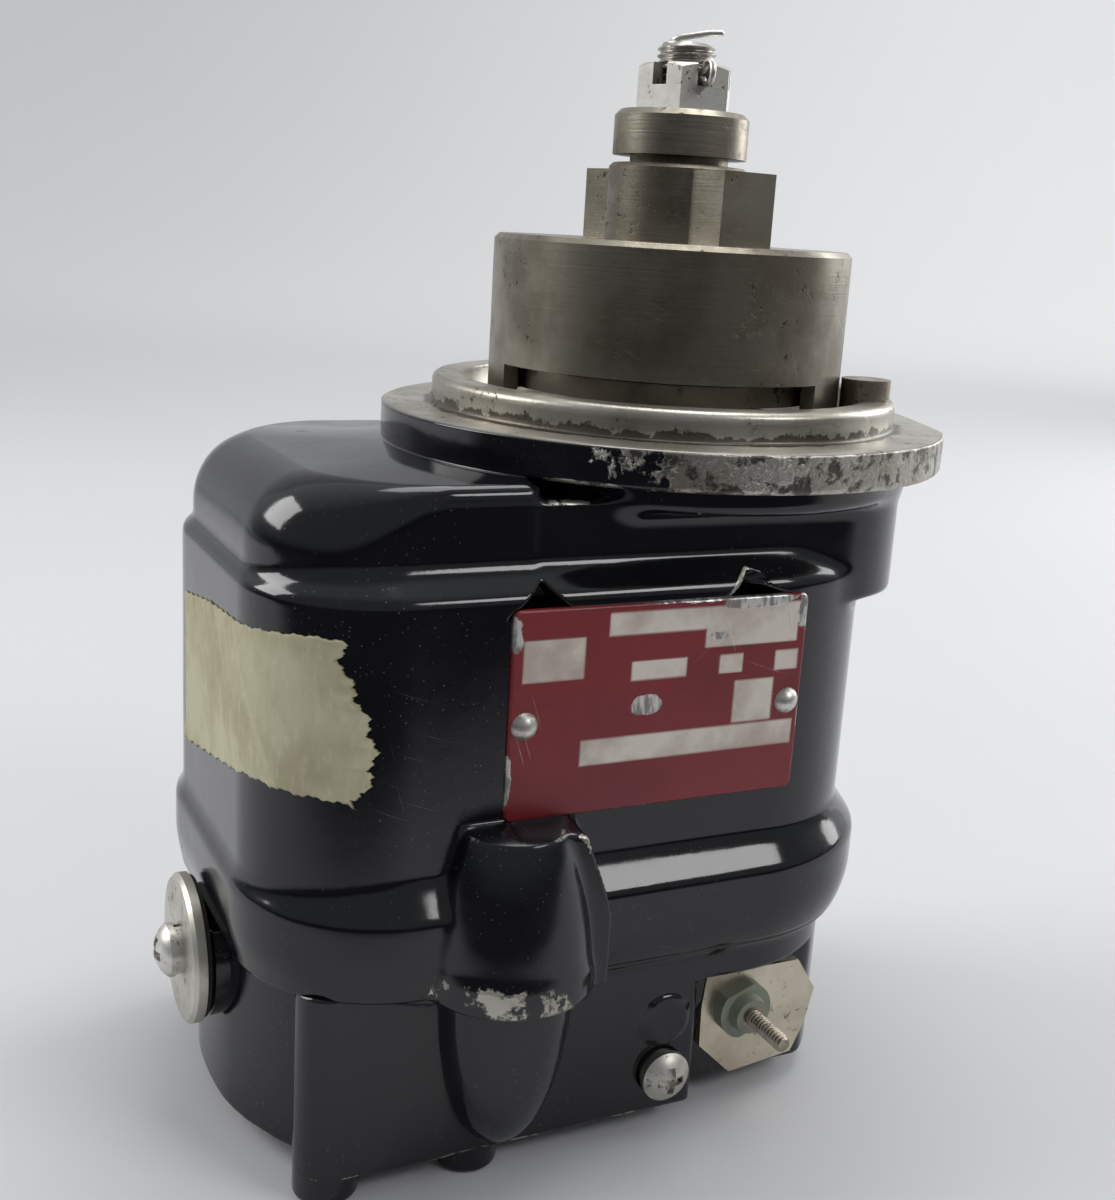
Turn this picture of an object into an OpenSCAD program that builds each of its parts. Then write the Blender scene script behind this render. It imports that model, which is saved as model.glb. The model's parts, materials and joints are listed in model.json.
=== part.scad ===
// Aircraft magneto with an impulse coupling, standing on its distributor end.
// The origin is the centre of the mounting pilot on the flange face, and +Z runs out along the rotor axis.
// +X runs along the front face, with the coil on the -X side and the data plate on the -Y side.

/* [Mounting flange] */
// Radius of the round mounting flange
flange_r = 47; // [45:0.5:52]
// Thickness of the flange
flange_t = 6; // [4:0.5:8]
// Outer radius of the pilot ring
pilot_r = 38.7; // [37.5:0.1:41]
// Wall of the pilot ring
pilot_wall = 5; // [3:0.25:6]
// Height of the pilot ring above the flange face
pilot_h = 4.7; // [3:0.1:7]

/* [Frame casting] */
// Distance from the flange face to the seam between the two castings
seam_depth = 80; // [78:1:90]
// Reach of the frame towards the coil side
frame_left = 76.4; // [75:0.2:84]
// Reach of the frame on the side away from the coil
frame_right = 31; // [29:0.5:36]
// Half the thickness of the frame, front to back
frame_half = 37; // [35:0.5:42]
// Corner radius on the coil side
frame_left_r = 20; // [12:1:28]
// Corner radius on the side away from the coil
frame_right_r = 28; // [20:1:30]
// Wall of the castings
wall = 5; // [4:0.25:6]
// Step back of the upper wall behind the front face
upper_step = 4; // [2:0.5:6]
// Depth below the flange face at which the sloped shoulder starts
shoulder_top = 17.5; // [15:0.5:22]
// Height of the sloped shoulder
shoulder_h = 4; // [2:0.5:8]
// Depth of the coil hump's top below the flange face
hump_depth = 5.8; // [5:0.1:7]
// Edge radius of the coil hump
hump_edge_r = 6; // [4:0.5:10]
// Stand-out of the belt round the seam
belt_out = 3.6; // [2:0.2:6]
// Stand-out of the belt at the coil end
belt_out_left = 1.2; // [0.5:0.1:4]
// Height of the belt, slope included
belt_h = 17.5; // [14:0.5:22]

/* [Bullet boss] */
// Place of the boss along the front face, from the rotor axis
bullet_x = -40.3; // [-46:0.1:-34]
// Radius of the flat top of the boss
bullet_top_r = 8.5; // [6:0.25:10]
// Largest radius of the boss, at the seam
bullet_r = 13.2; // [11:0.1:15]
// Height of the boss above the seam
bullet_h = 25; // [20:0.5:30]
// Length of the pointed half below the seam
bullet_tip_h = 28; // [22:0.5:29]
// Step in from the boss's largest radius to its pointed half
bullet_step = 2.4; // [0.5:0.1:4]
// Stand-out of the web beside the boss, past the boss's largest radius
wing_out = 0.6; // [0:0.1:4]

/* [Distributor housing] */
// Length of the distributor housing below the seam
housing_h = 30; // [29:0.5:36]
// Reach of the distributor housing towards the coil side
housing_left = 77; // [75:0.5:80]
// Half the thickness of the distributor housing, front to back
housing_half = 35.5; // [35:0.25:37]
// Radius of the curved end wall on the coil side
end_wall_r = 45; // [42:1:60]
// Radius of the corner posts
post_r = 5; // [4.5:0.25:6]
// Height of the feet and outlets below the housing
foot_h = 4; // [3:0.25:6]
// Left edge of the terminal recess, from the rotor axis
recess_x = -5; // [-8:0.25:-3]
// Setback of the terminal recess behind the front face
recess_step = 6; // [4:0.25:7]

/* [Rotor] */
// Radius of the threaded end of the shaft
thread_r = 4.76; // [4:0.02:5]
// Radius of the shaft under the coupling
drive_r = 6; // [5.5:0.1:6.5]
// Radius of the shaft in the front bearing
front_seat_r = 8.5; // [8:0.1:9]
// Radius of the shaft in the rear bearing
rear_seat_r = 6; // [5.5:0.1:6.5]
// Outer radius of the front bearing
front_bearing_r = 20; // [18:0.25:21]
// Width of the front bearing
front_bearing_w = 12; // [10:0.5:14]
// Outer radius of the rear bearing
rear_bearing_r = 16; // [14.5:0.25:17]
// Width of the rear bearing
rear_bearing_w = 10; // [9:0.25:10.5]
// Radius of the magnet
magnet_r = 20; // [18:0.25:21]
// Length of the magnet
magnet_h = 42; // [36:1:44]
// Height of the shaft's tip above the flange face
shaft_tip = 58.6; // [57.6:0.2:61]

/* [Impulse coupling] */
// Outer radius of the coupling body
shell_r = 29.4; // [27.5:0.1:29.4]
// Wall of the coupling body
shell_wall = 2.5; // [1.5:0.25:3]
// Height of the coupling body's top above the flange face
shell_top = 27.7; // [25:0.1:30]
// Height of the window's upper edge above the flange face
window_top = 7.4; // [7.2:0.1:9]
// Width of each window in degrees
window_deg = 114; // [100:1:118]
// Outer radius of the coupling hub
hub_r = 11.3; // [10.5:0.1:13]
// Height of the coupling hub's top above the flange face
hub_top = 39.8; // [37:0.1:40.5]
// Reach of the drive lugs from the axis
lug_reach = 17.2; // [15:0.1:20]
// Width of the drive lugs
lug_w = 11; // [8:0.25:13]
// Outer radius of the flyweight carrier's tube
tube_r = 8; // [7.5:0.1:9]
// Outer radius of the flyweights
weight_r = 28.3; // [26:0.1:28.5]
// Radius of the flyweight rivets
rivet_r = 2.5; // [2:0.1:3]
// Radius of the drive collar
collar_r = 10.9; // [9.5:0.1:12]
// Height of the drive collar
collar_h = 7; // [5:0.1:7.5]
// Width of the castle nut across its flats
nut_flats = 14.3; // [12.5:0.1:16]
// Height of the castle nut
nut_h = 7.1; // [6:0.1:7.4]
// Radius of the stop pin
stop_r = 4; // [3:0.1:4]

/* [Distributor drive] */
// Module of the gear pair
gear_module = 1.2; // [1.15:0.01:1.22]
// Teeth of the rotor gear
rotor_teeth = 16; // [16:1:16]
// Teeth of the distributor gear
distributor_teeth = 48; // [48:1:48]
// Width of the gears
gear_w = 4; // [3:0.25:4.5]
// Radius of the distributor axle
axle_r = 4; // [3.5:0.1:4.5]

/* [Coil] */
// Outer radius of the coil
coil_r = 17; // [14:0.25:17.5]
// Length of the coil
coil_len = 36; // [30:0.5:40]
// Width of the square coil core
core_w = 12; // [9:0.5:14]
// Running gap between the magnet and the pole shoes
pole_gap = 0.6; // [0.4:0.05:1]

/* [Plate and terminals] */
// Width of the data plate
plate_w = 50; // [44:0.5:54]
// Height of the data plate
plate_h = 32; // [28:0.5:34]
// Thickness of the data plate
plate_t = 0.6; // [0.4:0.1:1]
// Width of the condenser's mounting plate
terminal_w = 21; // [18:0.25:23]
// Radius of the terminal stud
stud_r = 1.45; // [1.2:0.05:2]
// Radius of the side cover
cover_r = 12; // [10:0.25:13.5]
// Radius of the ground screw's head
ground_head_r = 4.2; // [3:0.1:5]

/* [Hidden] */
$fn = 96;
cut = 1;
run_gap = 0.05;
clear_gap = 0.3;
// Sloped blends start this far inside the wall that they grow from
blend_in = 0.3;

// Levels along the rotor axis
seam_z = -seam_depth;
base_z = seam_z - housing_h;
rest_z = base_z - foot_h;
shoulder_z = -shoulder_top;
face_z = shoulder_z - shoulder_h;
belt_top_z = seam_z + belt_h;
upper_floor_z = shoulder_z - 9;
hump_base_z = -hump_depth - hump_edge_r;
neck_x = -36;

// Front bearing, seal and snap ring
seal_h = 6;
seal_r = front_seat_r + 6.5;
seal_top_z = -2;
bearing_top_z = seal_top_z - seal_h - 2;
bearing_bottom_z = bearing_top_z - front_bearing_w;
ring_t = 1.3;
ring_bite = 1.2;

// Rotor, bearing cap and rear bearing
magnet_top_z = bearing_bottom_z - 6;
magnet_bottom_z = magnet_top_z - magnet_h;
cap_top_z = seam_z + 4;
cap_t = 4;
cap_bottom_z = cap_top_z - cap_t;
rear_top_z = cap_top_z;
rear_bottom_z = rear_top_z - rear_bearing_w;
shoe_top_z = magnet_top_z;
rotor_gear_top_z = rear_bottom_z - 1.2;
rotor_gear_bottom_z = rotor_gear_top_z - gear_w;
cam_h = 6;
cam_seat_r = rear_seat_r - 1;
cam_top_z = rotor_gear_bottom_z - 0.8;
cam_bottom_z = cam_top_z - cam_h;

// Inside of the castings
inner_half = frame_half - wall - 1;
inner_left = frame_left - wall;
inner_right = frame_right - wall;
inner_r = frame_left_r - wall;
coil_roof_z = -hump_depth - wall;
bearing_metal = 9;

// Distributor drive
rotor_pitch_r = gear_module * rotor_teeth / 2;
distributor_pitch_r = gear_module * distributor_teeth / 2;
gear_slack = 0.15;
axle_x = -(rotor_pitch_r + distributor_pitch_r + gear_slack);
block_top_z = base_z + 6;
block_bottom_z = base_z - 0.8;
axle_bottom_z = block_top_z - 4;
axle_top_z = cap_top_z + 2;
finger_h = 4;
finger_top_z = rotor_gear_bottom_z;
electrode_r = 1.8;
outlets = 6;
outlet_ring = distributor_pitch_r - 4.3;
finger_r = outlet_ring - electrode_r - 0.9;
outlet_r = 5;
outlet_bore_r = 3;
electrode_bottom_z = base_z + 2;

// Brush in the top of the axle
brush_r = 1.5;
brush_bore_r = brush_r + clear_gap;
brush_len = 7;
brush_top_z = axle_top_z + 1;
brush_travel = 1;
spring_len = 5;
brush_bore_bottom_z = brush_top_z - brush_len - spring_len - brush_travel - 0.2;

// Coil and pole shoes
coil_x = -52;
coil_z = (shoe_top_z + cap_top_z) / 2;
shoe_left = coil_x - core_w / 2 - 2;
shoe_right = 14;
shoe_face = coil_len / 2 + 4;
shoe_arm = 12;
tab_w = 6;
tab_t = 0.8;
tab_root = 4;
tab_past_axle = 3;

// Breaker
lobe_r = 8.6;
flat_r = 7.9;
arm_h = 4;
arm_top_z = cam_top_z - 1;
arm_y = 12;
arm_half = 1.5;
pivot = [18, arm_y];
pivot_r = 1.6;
contact_x = -8;
contact_gap = 0.45;
contact_r = 1.6;
post_foot = [-8, 21];
fixed_gap = 0.3;
fixed_t = 1;

// Impulse coupling
carrier_bottom = 3.7;
carrier_top = 6.9;
carrier_r = shell_r - shell_wall - 1;
tube_top = hub_top + 1.3;
collar_top = tube_top + collar_h;
collar_edge = 0.9;
weight_bottom = 0.7;
weight_top = carrier_bottom - clear_gap;
weight_in_r = 12;
weight_span = [-152, -80];
pivot_ring = 19;
pivot_deg = -95;
shell_in_r = shell_r - shell_wall;
weight_heel_r = shell_in_r - 0.6;
weight_heel_deg = -110;
shell_roof_t = 3;
shell_skirt = 1.2;
window_mid = -122.5;
lug_deg = -79;
spring_turns = 3;
spring_steps = 30 * spring_turns;
spring_in_r = tube_r;
spring_out_r = shell_in_r - 0.5;
spring_t = 0.9;
spring_bottom = carrier_top + 1.2;
spring_top = shell_top - shell_roof_t - 1.2;
stop_ring = shell_r + clear_gap + stop_r;
stop_deg = -39.5;
stop_top = 8;
stop_sink = 5;
cotter_r = 0.9;
cotter_z = collar_top + nut_h - 1.8;
cotter_head_r = 1.7;
cotter_head = nut_flats / 2 + 1.9;
cotter_tail = nut_flats / 2 + 0.5;
castle_depth = 3.4;
castle_w = 2.6;
key_w = 3;

// Screw posts that join the castings
post_left_x = -(housing_left - 11.2);
post_left_y = housing_half - post_r;
post_web = 16;
post_right_x = frame_right - 11;
post_right_y = 22;
posts = [[post_left_x, -post_left_y], [post_left_x, post_left_y],
         [post_right_x, -post_right_y], [post_right_x, post_right_y]];
feet = [posts[0], posts[1], posts[3]];
pads = [[bullet_x - 2.7, -housing_half + post_r], [bullet_x - 2.7, housing_half - post_r]];
pad_top_z = base_z + 8;
frame_post_h = 12;
web_w = 4;
screw_r = 2;
screw_head_r = 3.4;
screw_head_h = 3;
screw_seat_z = base_z + screw_head_h + 1;

// Terminal recess, condenser and bushing
recess_y = -(housing_half - recess_step);
recess_top_z = seam_z - 8;
recess_wall = 3;
terminal_x = 6.3;
terminal_z = seam_z - 16.8;
terminal_plate_shift = [3.2, -2.7];
terminal_t = 1.2;
can_r = 6.5;
can_len = 12;
bushing_r = 4.9;
bushing_len = 4.5;
stud_out = 9.3;
shank_r = stud_r + 0.5;
condenser_hole_r = can_r + clear_gap;

// Data plate and its screws
plate_x = -42.6;
plate_z = seam_z + bullet_h + 0.1;
plate_corner_r = 1.5;
drive_head_r = 2.1;
plate_screw_in = 2.6;
plate_screw_z = plate_z + 0.46 * plate_h;
plate_screws = [for (x = [plate_screw_in, plate_w - plate_screw_in]) [plate_x + x, plate_screw_z]];

// Ground screw and the cast mark above it
ground_x = -11;
ground_drop = 23;
ground_z = seam_z - ground_drop;
mark_z = ground_z + 9.4;
mark_r = 4.2;

// Side cover on the coil end
cover_z = seam_z - 6.4;
cover_boss_r = cover_r - 1;
cover_boss_out = max(0.6, frame_left + belt_out_left - housing_left + 0.8);
cover_t = 2;
gasket_t = 0.8;
cover_x = -(housing_left + cover_boss_out);
cover_head_r = 4;
cover_head_h = 3;
lock_t = 1;

// Masking tape on the coil-side corner
tape_t = 0.25;
tape_top_z = -26.3;
tape_bottom_z = -50.2;
tape_right_x = -62.4;
tape_back_y = 16;

// Bearing tracks and balls
front_track = (front_seat_r + front_bearing_r) / 2;
front_ball = 3.4;
rear_track = (rear_seat_r + rear_bearing_r) / 2;
rear_ball = 2.9;

// Angles of the nut, its pin and the distributor finger
nut_deg = -64;
cotter_deg = nut_deg + 60;
finger_deg = 0;
backlash = 0.5;

// Screws that hold the bearing cap to the pole shoes
cap_screw_r = 1.8;
cap_screw_len = 8;
cap_screw_x = [coil_x + 7, shoe_right - 8];
cap_screw_y = housing_half - wall - 4.5;
cap_screws = [for (x = cap_screw_x, y = [-1, 1]) [x, y * cap_screw_y]];

// Rectangle from corner to corner, with one corner radius at its left end and one at its right end
module end_rounded(x0, x1, half, r0, r1) {
    translate([x0 + r0, -half]) square([x1 - r1 - x0 - r0, 2 * half]);
    translate([x0, -half + r0]) square([r0 + 0.01, 2 * (half - r0)]);
    translate([x1 - r1 - 0.01, -half + r1]) square([r1 + 0.01, 2 * (half - r1)]);
    for (s = [-1, 1]) {
        translate([x0 + r0, s * (half - r0)]) circle(r0);
        translate([x1 - r1, s * (half - r1)]) circle(r1);
    }
}

// Outline of the frame at the data plate, grown outwards by an amount
module frame_outline(grow = 0) {
    end_rounded(-frame_left - grow, frame_right + grow, frame_half + grow,
        frame_left_r + grow, frame_right_r + grow);
}

// Outline of the belt round the seam, shrunk by an amount
module belt_outline(shrink) {
    end_rounded(-frame_left - belt_out_left + shrink, frame_right + belt_out - shrink,
        frame_half + belt_out - shrink, frame_left_r + belt_out - shrink, frame_right_r + belt_out - shrink);
}

// Outline of the wall between the shoulder and the flange
module upper_outline(shrink = 0) {
    end_rounded(-frame_left + 1.5 + shrink, frame_right + 5.5 - shrink, frame_half - upper_step - shrink,
        frame_left_r - upper_step / 2 - shrink, frame_right_r - 8 - shrink);
}

// Inside of the frame
module frame_cavity_outline() {
    end_rounded(-inner_left, inner_right, inner_half, inner_r, inner_right - 1);
}

// Half plane beyond the middle of the curved end wall, with that wall's circle
module end_wall_side(r) {
    translate([end_wall_r - housing_left, 0]) circle(r);
    translate([end_wall_r - housing_left, -2 * housing_half]) square(4 * housing_half);
}

// Outline of the distributor housing: cut to the curved end wall, with square webs to the corner posts
module housing_outline() {
    intersection() {
        end_rounded(-housing_left, frame_right, housing_half, 3, frame_right_r - 0.5);
        end_wall_side(end_wall_r);
    }
    for (y = [-housing_half, housing_half - 2 * post_r])
        translate([post_left_x, y]) square([post_web, 2 * post_r]);
}

// Inside of the distributor housing, shrunk by an amount
module housing_cavity_outline(shrink = 0) {
    intersection() {
        end_rounded(-housing_left + wall + shrink, frame_right - wall - shrink, housing_half - wall - shrink,
            2, frame_right_r - wall - 0.5 - shrink);
        end_wall_side(end_wall_r - wall - shrink);
    }
}

module plate_at(z, t) {
    translate([0, 0, z]) linear_extrude(t) children();
}

// Ring of rectangular section
module ring(r_in, r_out, z0, z1) {
    translate([0, 0, z0]) difference() {
        cylinder(r = r_out, h = z1 - z0);
        translate([0, 0, -cut]) cylinder(r = r_in, h = z1 - z0 + 2 * cut);
    }
}

// Pie slice from one angle to another
module wedge(a0, a1, r) {
    steps = 12;
    rim = [for (i = [0:steps]) let (a = a0 + (a1 - a0) * i / steps) r * [cos(a), sin(a)]];
    polygon(concat([[0, 0]], rim));
}

// Upper half of the bullet boss: flat top, swelling to the seam
module bullet_upper() {
    translate([bullet_x, -frame_half + 1, seam_z]) rotate_extrude()
        polygon([[0, 0], [bullet_r, 0], [bullet_r, 2], [bullet_r - 0.9, bullet_h * 0.45],
            [bullet_r - 2.6, bullet_h * 0.75], [bullet_top_r, bullet_h - 0.8], [bullet_top_r - 1, bullet_h],
            [0, bullet_h]]);
}

// Lower half of the bullet boss: an ogive that runs out on the front face
module bullet_lower() {
    steps = 10;
    translate([bullet_x, -housing_half + 0.5, seam_z]) rotate_extrude()
        polygon(concat([[0, 0]], [for (i = [0:steps]) let (t = i / steps)
            [(bullet_r - bullet_step) * sqrt(max(0, 1 - pow(t, 2.2))), -t * bullet_tip_h]]));
}

// Slanted web between the bullet boss and the belt
module bullet_wing() {
    translate([0, -frame_half + 1, 0]) rotate([90, 0, 0]) linear_extrude(7)
        polygon([[bullet_x, seam_z + bullet_h], [bullet_x + bullet_top_r + 0.5, seam_z + bullet_h],
            [bullet_x + bullet_r + wing_out, seam_z + 0.45 * bullet_h],
            [bullet_x + bullet_r + wing_out, seam_z],
            [bullet_x, seam_z]]);
}

module coil_hump() {
    hull() for (a = [0:22.5:90]) {
        inset = blend_in + hump_edge_r * (1 - cos(a));
        plate_at(-hump_depth - hump_edge_r * (1 - sin(a)) - 0.1, 0.1)
            end_rounded(-frame_left + 1.5 + inset, -10, frame_half - upper_step - inset,
                frame_left_r - upper_step / 2 - inset / 3, 4);
    }
}

module shoulder_slope() {
    hull() {
        plate_at(shoulder_z - 0.1, 0.1) intersection() {
            upper_outline(blend_in);
            frame_outline(-blend_in);
        }
        plate_at(face_z - 0.1, 0.1) frame_outline(-blend_in / 2);
    }
}

module belt() {
    slope = 5;
    hull() {
        plate_at(belt_top_z - 0.1, 0.1) frame_outline(-blend_in);
        plate_at(seam_z + 3, belt_h - slope - 3) belt_outline(0);
        plate_at(seam_z, 0.1) belt_outline(1);
    }
}

module frame_outside() {
    plate_at(-flange_t, flange_t) difference() {
        circle(flange_r);
        rotate(-20) translate([flange_r - 1.2, -flange_r]) square(2 * flange_r);
    }
    translate([0, 0, -flange_t - 3]) cylinder(r1 = flange_r - 7, r2 = flange_r - 4, h = 3.1);
    rotate_extrude() polygon([[pilot_r - pilot_wall, -1], [pilot_r, -1], [pilot_r, pilot_h - 0.8],
        [pilot_r - 0.8, pilot_h], [pilot_r - pilot_wall, pilot_h]]);
    coil_hump();
    plate_at(upper_floor_z, hump_base_z - upper_floor_z) upper_outline();
    plate_at(hump_base_z - 1, -flange_t - hump_base_z) intersection() {
        upper_outline();
        translate([neck_x, -frame_half]) square(3 * frame_half);
    }
    shoulder_slope();
    plate_at(belt_top_z - 1, face_z - belt_top_z + 1) frame_outline();
    belt();
    bullet_upper();
    bullet_wing();
}

// Plan of a frame post with its web out to the side wall, grown outwards by an amount
module post_plan(p, grow = 0) {
    translate(p) circle(post_r - 0.5 + grow);
    reach = inner_half + 1 - abs(p.y);
    translate([p.x - web_w / 2 - grow, p.y > 0 ? p.y : p.y - reach]) square([web_w + 2 * grow, reach]);
}

module frame_housing() color("#15171c") difference() {
    union() {
        difference() {
            frame_outside();
            plate_at(seam_z - cut, magnet_top_z - seam_z + cut) frame_cavity_outline();
            plate_at(magnet_top_z - cut, coil_roof_z - magnet_top_z + cut)
                end_rounded(-inner_left + 2, -front_bearing_r - bearing_metal, inner_half - upper_step,
                    inner_r - 2, 6);
        }
        for (p = posts) plate_at(seam_z, frame_post_h) post_plan(p);
    }
    translate([0, 0, magnet_top_z - cut])
        cylinder(r = front_bearing_r, h = bearing_top_z - magnet_top_z + cut);
    ring(front_bearing_r - 1, front_bearing_r + ring_bite, bearing_bottom_z - ring_t, bearing_bottom_z);
    translate([0, 0, seal_top_z - seal_h]) cylinder(r = seal_r, h = seal_h + flange_t);
    translate([0, 0, bearing_top_z - cut]) cylinder(r = front_seat_r + 2, h = seal_h);
    stop_pin_body();
    for (p = posts) translate([p.x, p.y, seam_z - cut]) cylinder(r = screw_r, h = frame_post_h);
}

module stop_pin_body() {
    rotate(stop_deg) translate([stop_ring, 0, -stop_sink]) cylinder(r = stop_r, h = stop_sink + stop_top);
}

module stop_pin() color("#6f6a60") stop_pin_body();

module front_hole(x, z, r, depth) {
    translate([x, -housing_half - cut, z]) rotate([-90, 0, 0]) cylinder(r = r, h = depth + cut);
}

module distributor_housing() color("#191b20") difference() {
    union() {
        difference() {
            union() {
                plate_at(base_z, housing_h) housing_outline();
                bullet_lower();
                intersection() {
                    translate([cover_x, 0, cover_z]) rotate([0, 90, 0])
                        cylinder(r = cover_boss_r, h = cover_boss_out + wall);
                    translate([cover_x - cut, -cover_r, base_z]) cube([2 * cover_r, 2 * cover_r, housing_h]);
                }
                translate([ground_x, -housing_half + cut, mark_z]) rotate([90, 0, 0])
                    cylinder(r = mark_r, h = cut + 0.6);
            }
            plate_at(base_z - cut, housing_h + 2 * cut) housing_cavity_outline();
        }
        intersection() {
            plate_at(base_z, recess_top_z + recess_wall - base_z) housing_outline();
            translate([recess_x - recess_wall, -2 * housing_half, base_z])
                cube([2 * frame_right, 2 * housing_half + recess_y + recess_wall, housing_h]);
        }
        for (p = posts) translate([p.x, p.y, base_z]) cylinder(r = post_r - 0.5, h = housing_h);
        for (p = feet) translate([p.x, p.y, rest_z]) cylinder(r = post_r, h = seam_z - rest_z);
        for (p = pads) translate([p.x, p.y, rest_z]) cylinder(r = post_r, h = pad_top_z - rest_z);
    }
    translate([recess_x, recess_y - housing_half, base_z - cut])
        cube([2 * frame_right, housing_half, recess_top_z - base_z + cut]);
    front_hole(terminal_x, terminal_z, condenser_hole_r, 2 * wall + recess_step);
    front_hole(ground_x, ground_z, screw_r, wall + cut);
    translate([cover_x - cut, 0, cover_z]) rotate([0, 90, 0])
        cylinder(r = screw_r, h = wall + cover_boss_out);
    for (p = posts) {
        translate([p.x, p.y, rest_z - cut])
            cylinder(r = screw_head_r + clear_gap, h = screw_seat_z - rest_z + cut);
        translate([p.x, p.y, rest_z]) cylinder(r = screw_r, h = seam_z - rest_z + cut);
    }
}

module data_plate() color("#7d2528")
    translate([plate_x, -frame_half, plate_z]) rotate([90, 0, 0]) linear_extrude(plate_t) difference() {
        union() {
            translate([plate_corner_r, 0]) square([plate_w - 2 * plate_corner_r, plate_h]);
            translate([0, plate_corner_r]) square([plate_w, plate_h - 2 * plate_corner_r]);
            c = plate_corner_r;
            for (x = [c, plate_w - c], y = [c, plate_h - c]) translate([x, y]) circle(c);
        }
        for (p = plate_screws) translate([p.x - plate_x, p.y - plate_z]) circle(1);
    }

// Domed rivet-like heads, each with a short shank in the plate
module plate_drive_screws() color("#a8a49c")
    for (p = plate_screws) translate([p.x, -frame_half, p.y]) rotate([90, 0, 0]) {
        cylinder(r = 1, h = plate_t + 0.1);
        translate([0, 0, plate_t]) rotate_extrude() intersection() {
            translate([0, -drive_head_r * 0.5]) circle(drive_head_r * 1.12);
            square(drive_head_r);
        }
    }

module masking_tape() color("#b7ad84") plate_at(tape_bottom_z, tape_top_z - tape_bottom_z) intersection() {
    difference() {
        frame_outline(tape_t);
        frame_outline();
    }
    translate([-2 * frame_left, -2 * frame_left])
        square([2 * frame_left + tape_right_x, 2 * frame_left + tape_back_y]);
}

module housing_screws() color("#8a8880") for (p = posts) translate([p.x, p.y, 0]) {
    translate([0, 0, screw_seat_z - screw_head_h]) difference() {
        cylinder(r = screw_head_r, h = screw_head_h);
        translate([-screw_head_r, -0.5, -cut]) cube([2 * screw_head_r, 1, 1 + cut]);
    }
    translate([0, 0, screw_seat_z]) cylinder(r = screw_r, h = seam_z + frame_post_h - 2 - screw_seat_z);
}

// Pan head with a cross slot, standing out along +Z from the origin
module pan_head(r, h) {
    difference() {
        rotate_extrude() intersection() {
            translate([0, h - 1.3 * r]) circle(1.3 * r);
            square([r, h]);
        }
        for (a = [0, 90]) rotate(a) translate([-0.55 * r, -0.16 * r, h * 0.55]) cube([1.1 * r, 0.32 * r, h]);
    }
}

module ground_screw() color("#b3b0a8") translate([ground_x, -housing_half, ground_z]) rotate([90, 0, 0]) {
    cylinder(r = ground_head_r - 0.4, h = 0.8);
    translate([0, 0, 0.8]) pan_head(ground_head_r, 3);
    translate([0, 0, -wall + 0.5]) cylinder(r = screw_r, h = wall);
}

module condenser() color("#c9c2a6") {
    w = terminal_w;
    translate([terminal_x, recess_y, terminal_z]) rotate([90, 0, 0]) linear_extrude(terminal_t)
        translate(terminal_plate_shift) polygon(w * [[-0.5, 0.17], [-0.47, 0.43], [0.4, 0.43], [0.59, 0.14],
            [0.52, -0.18], [0.41, -0.41], [-0.18, -0.48], [-0.49, -0.18]]);
    translate([terminal_x, recess_y - 0.1, terminal_z]) rotate([-90, 0, 0]) cylinder(r = can_r, h = can_len);
}

module terminal_bushing() color("#8f9484") translate([terminal_x, recess_y - terminal_t, terminal_z])
    rotate([90, 0, 0]) difference() {
        union() {
            linear_extrude(bushing_len * 0.55) intersection() {
                circle(bushing_r);
                rotate(20) square([2 * bushing_r, 1.7 * bushing_r], center = true);
            }
            cylinder(r1 = bushing_r * 0.8, r2 = bushing_r * 0.62, h = bushing_len);
        }
        translate([0, 0, -cut]) cylinder(r = shank_r, h = bushing_len + 2 * cut);
    }

module terminal_stud() color("#9d9888") translate([terminal_x, recess_y - terminal_t, terminal_z])
    rotate([90, 0, 0]) {
        cylinder(r = shank_r, h = bushing_len);
        cylinder(r = stud_r, h = bushing_len + stud_out - 0.5);
        translate([0, 0, bushing_len + stud_out - 0.5]) cylinder(r1 = stud_r, r2 = stud_r - 0.4, h = 0.5);
    }

module side_stack(x) {
    translate([x, 0, cover_z]) rotate([0, -90, 0]) children();
}

module side_cover_gasket() color("#2b2a27") side_stack(cover_x) difference() {
    cylinder(r = cover_r - 0.6, h = gasket_t);
    translate([0, 0, -cut]) cylinder(r = screw_r, h = gasket_t + 2 * cut);
}

module side_cover() color("#b9b5a8") side_stack(cover_x - gasket_t) difference() {
    rotate_extrude() polygon([[0, 0], [cover_r, 0], [cover_r, cover_t - 0.6], [cover_r - 0.6, cover_t],
        [0, cover_t]]);
    translate([0, 0, -cut]) cylinder(r = screw_r, h = cover_t + 2 * cut);
}

module side_cover_lock_washer() color("#75736c") side_stack(cover_x - gasket_t - cover_t)
    difference() {
        cylinder(r = cover_head_r, h = lock_t);
        translate([0, 0, -cut]) cylinder(r = screw_r, h = lock_t + 2 * cut);
        translate([0, -0.4, -cut]) cube([2 * cover_head_r, 0.8, lock_t + 2 * cut]);
    }

module side_cover_screw() color("#b3b0a8") side_stack(cover_x - gasket_t - cover_t - lock_t) {
    pan_head(cover_head_r + 0.3, cover_head_h);
    depth = lock_t + cover_t + gasket_t + wall;
    translate([0, 0, -depth]) cylinder(r = screw_r, h = depth);
}

module at_outlets() {
    for (i = [0:outlets - 1]) translate([axle_x, 0, 0]) rotate(i * 360 / outlets)
        translate([outlet_ring, 0, 0]) children();
}

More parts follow.
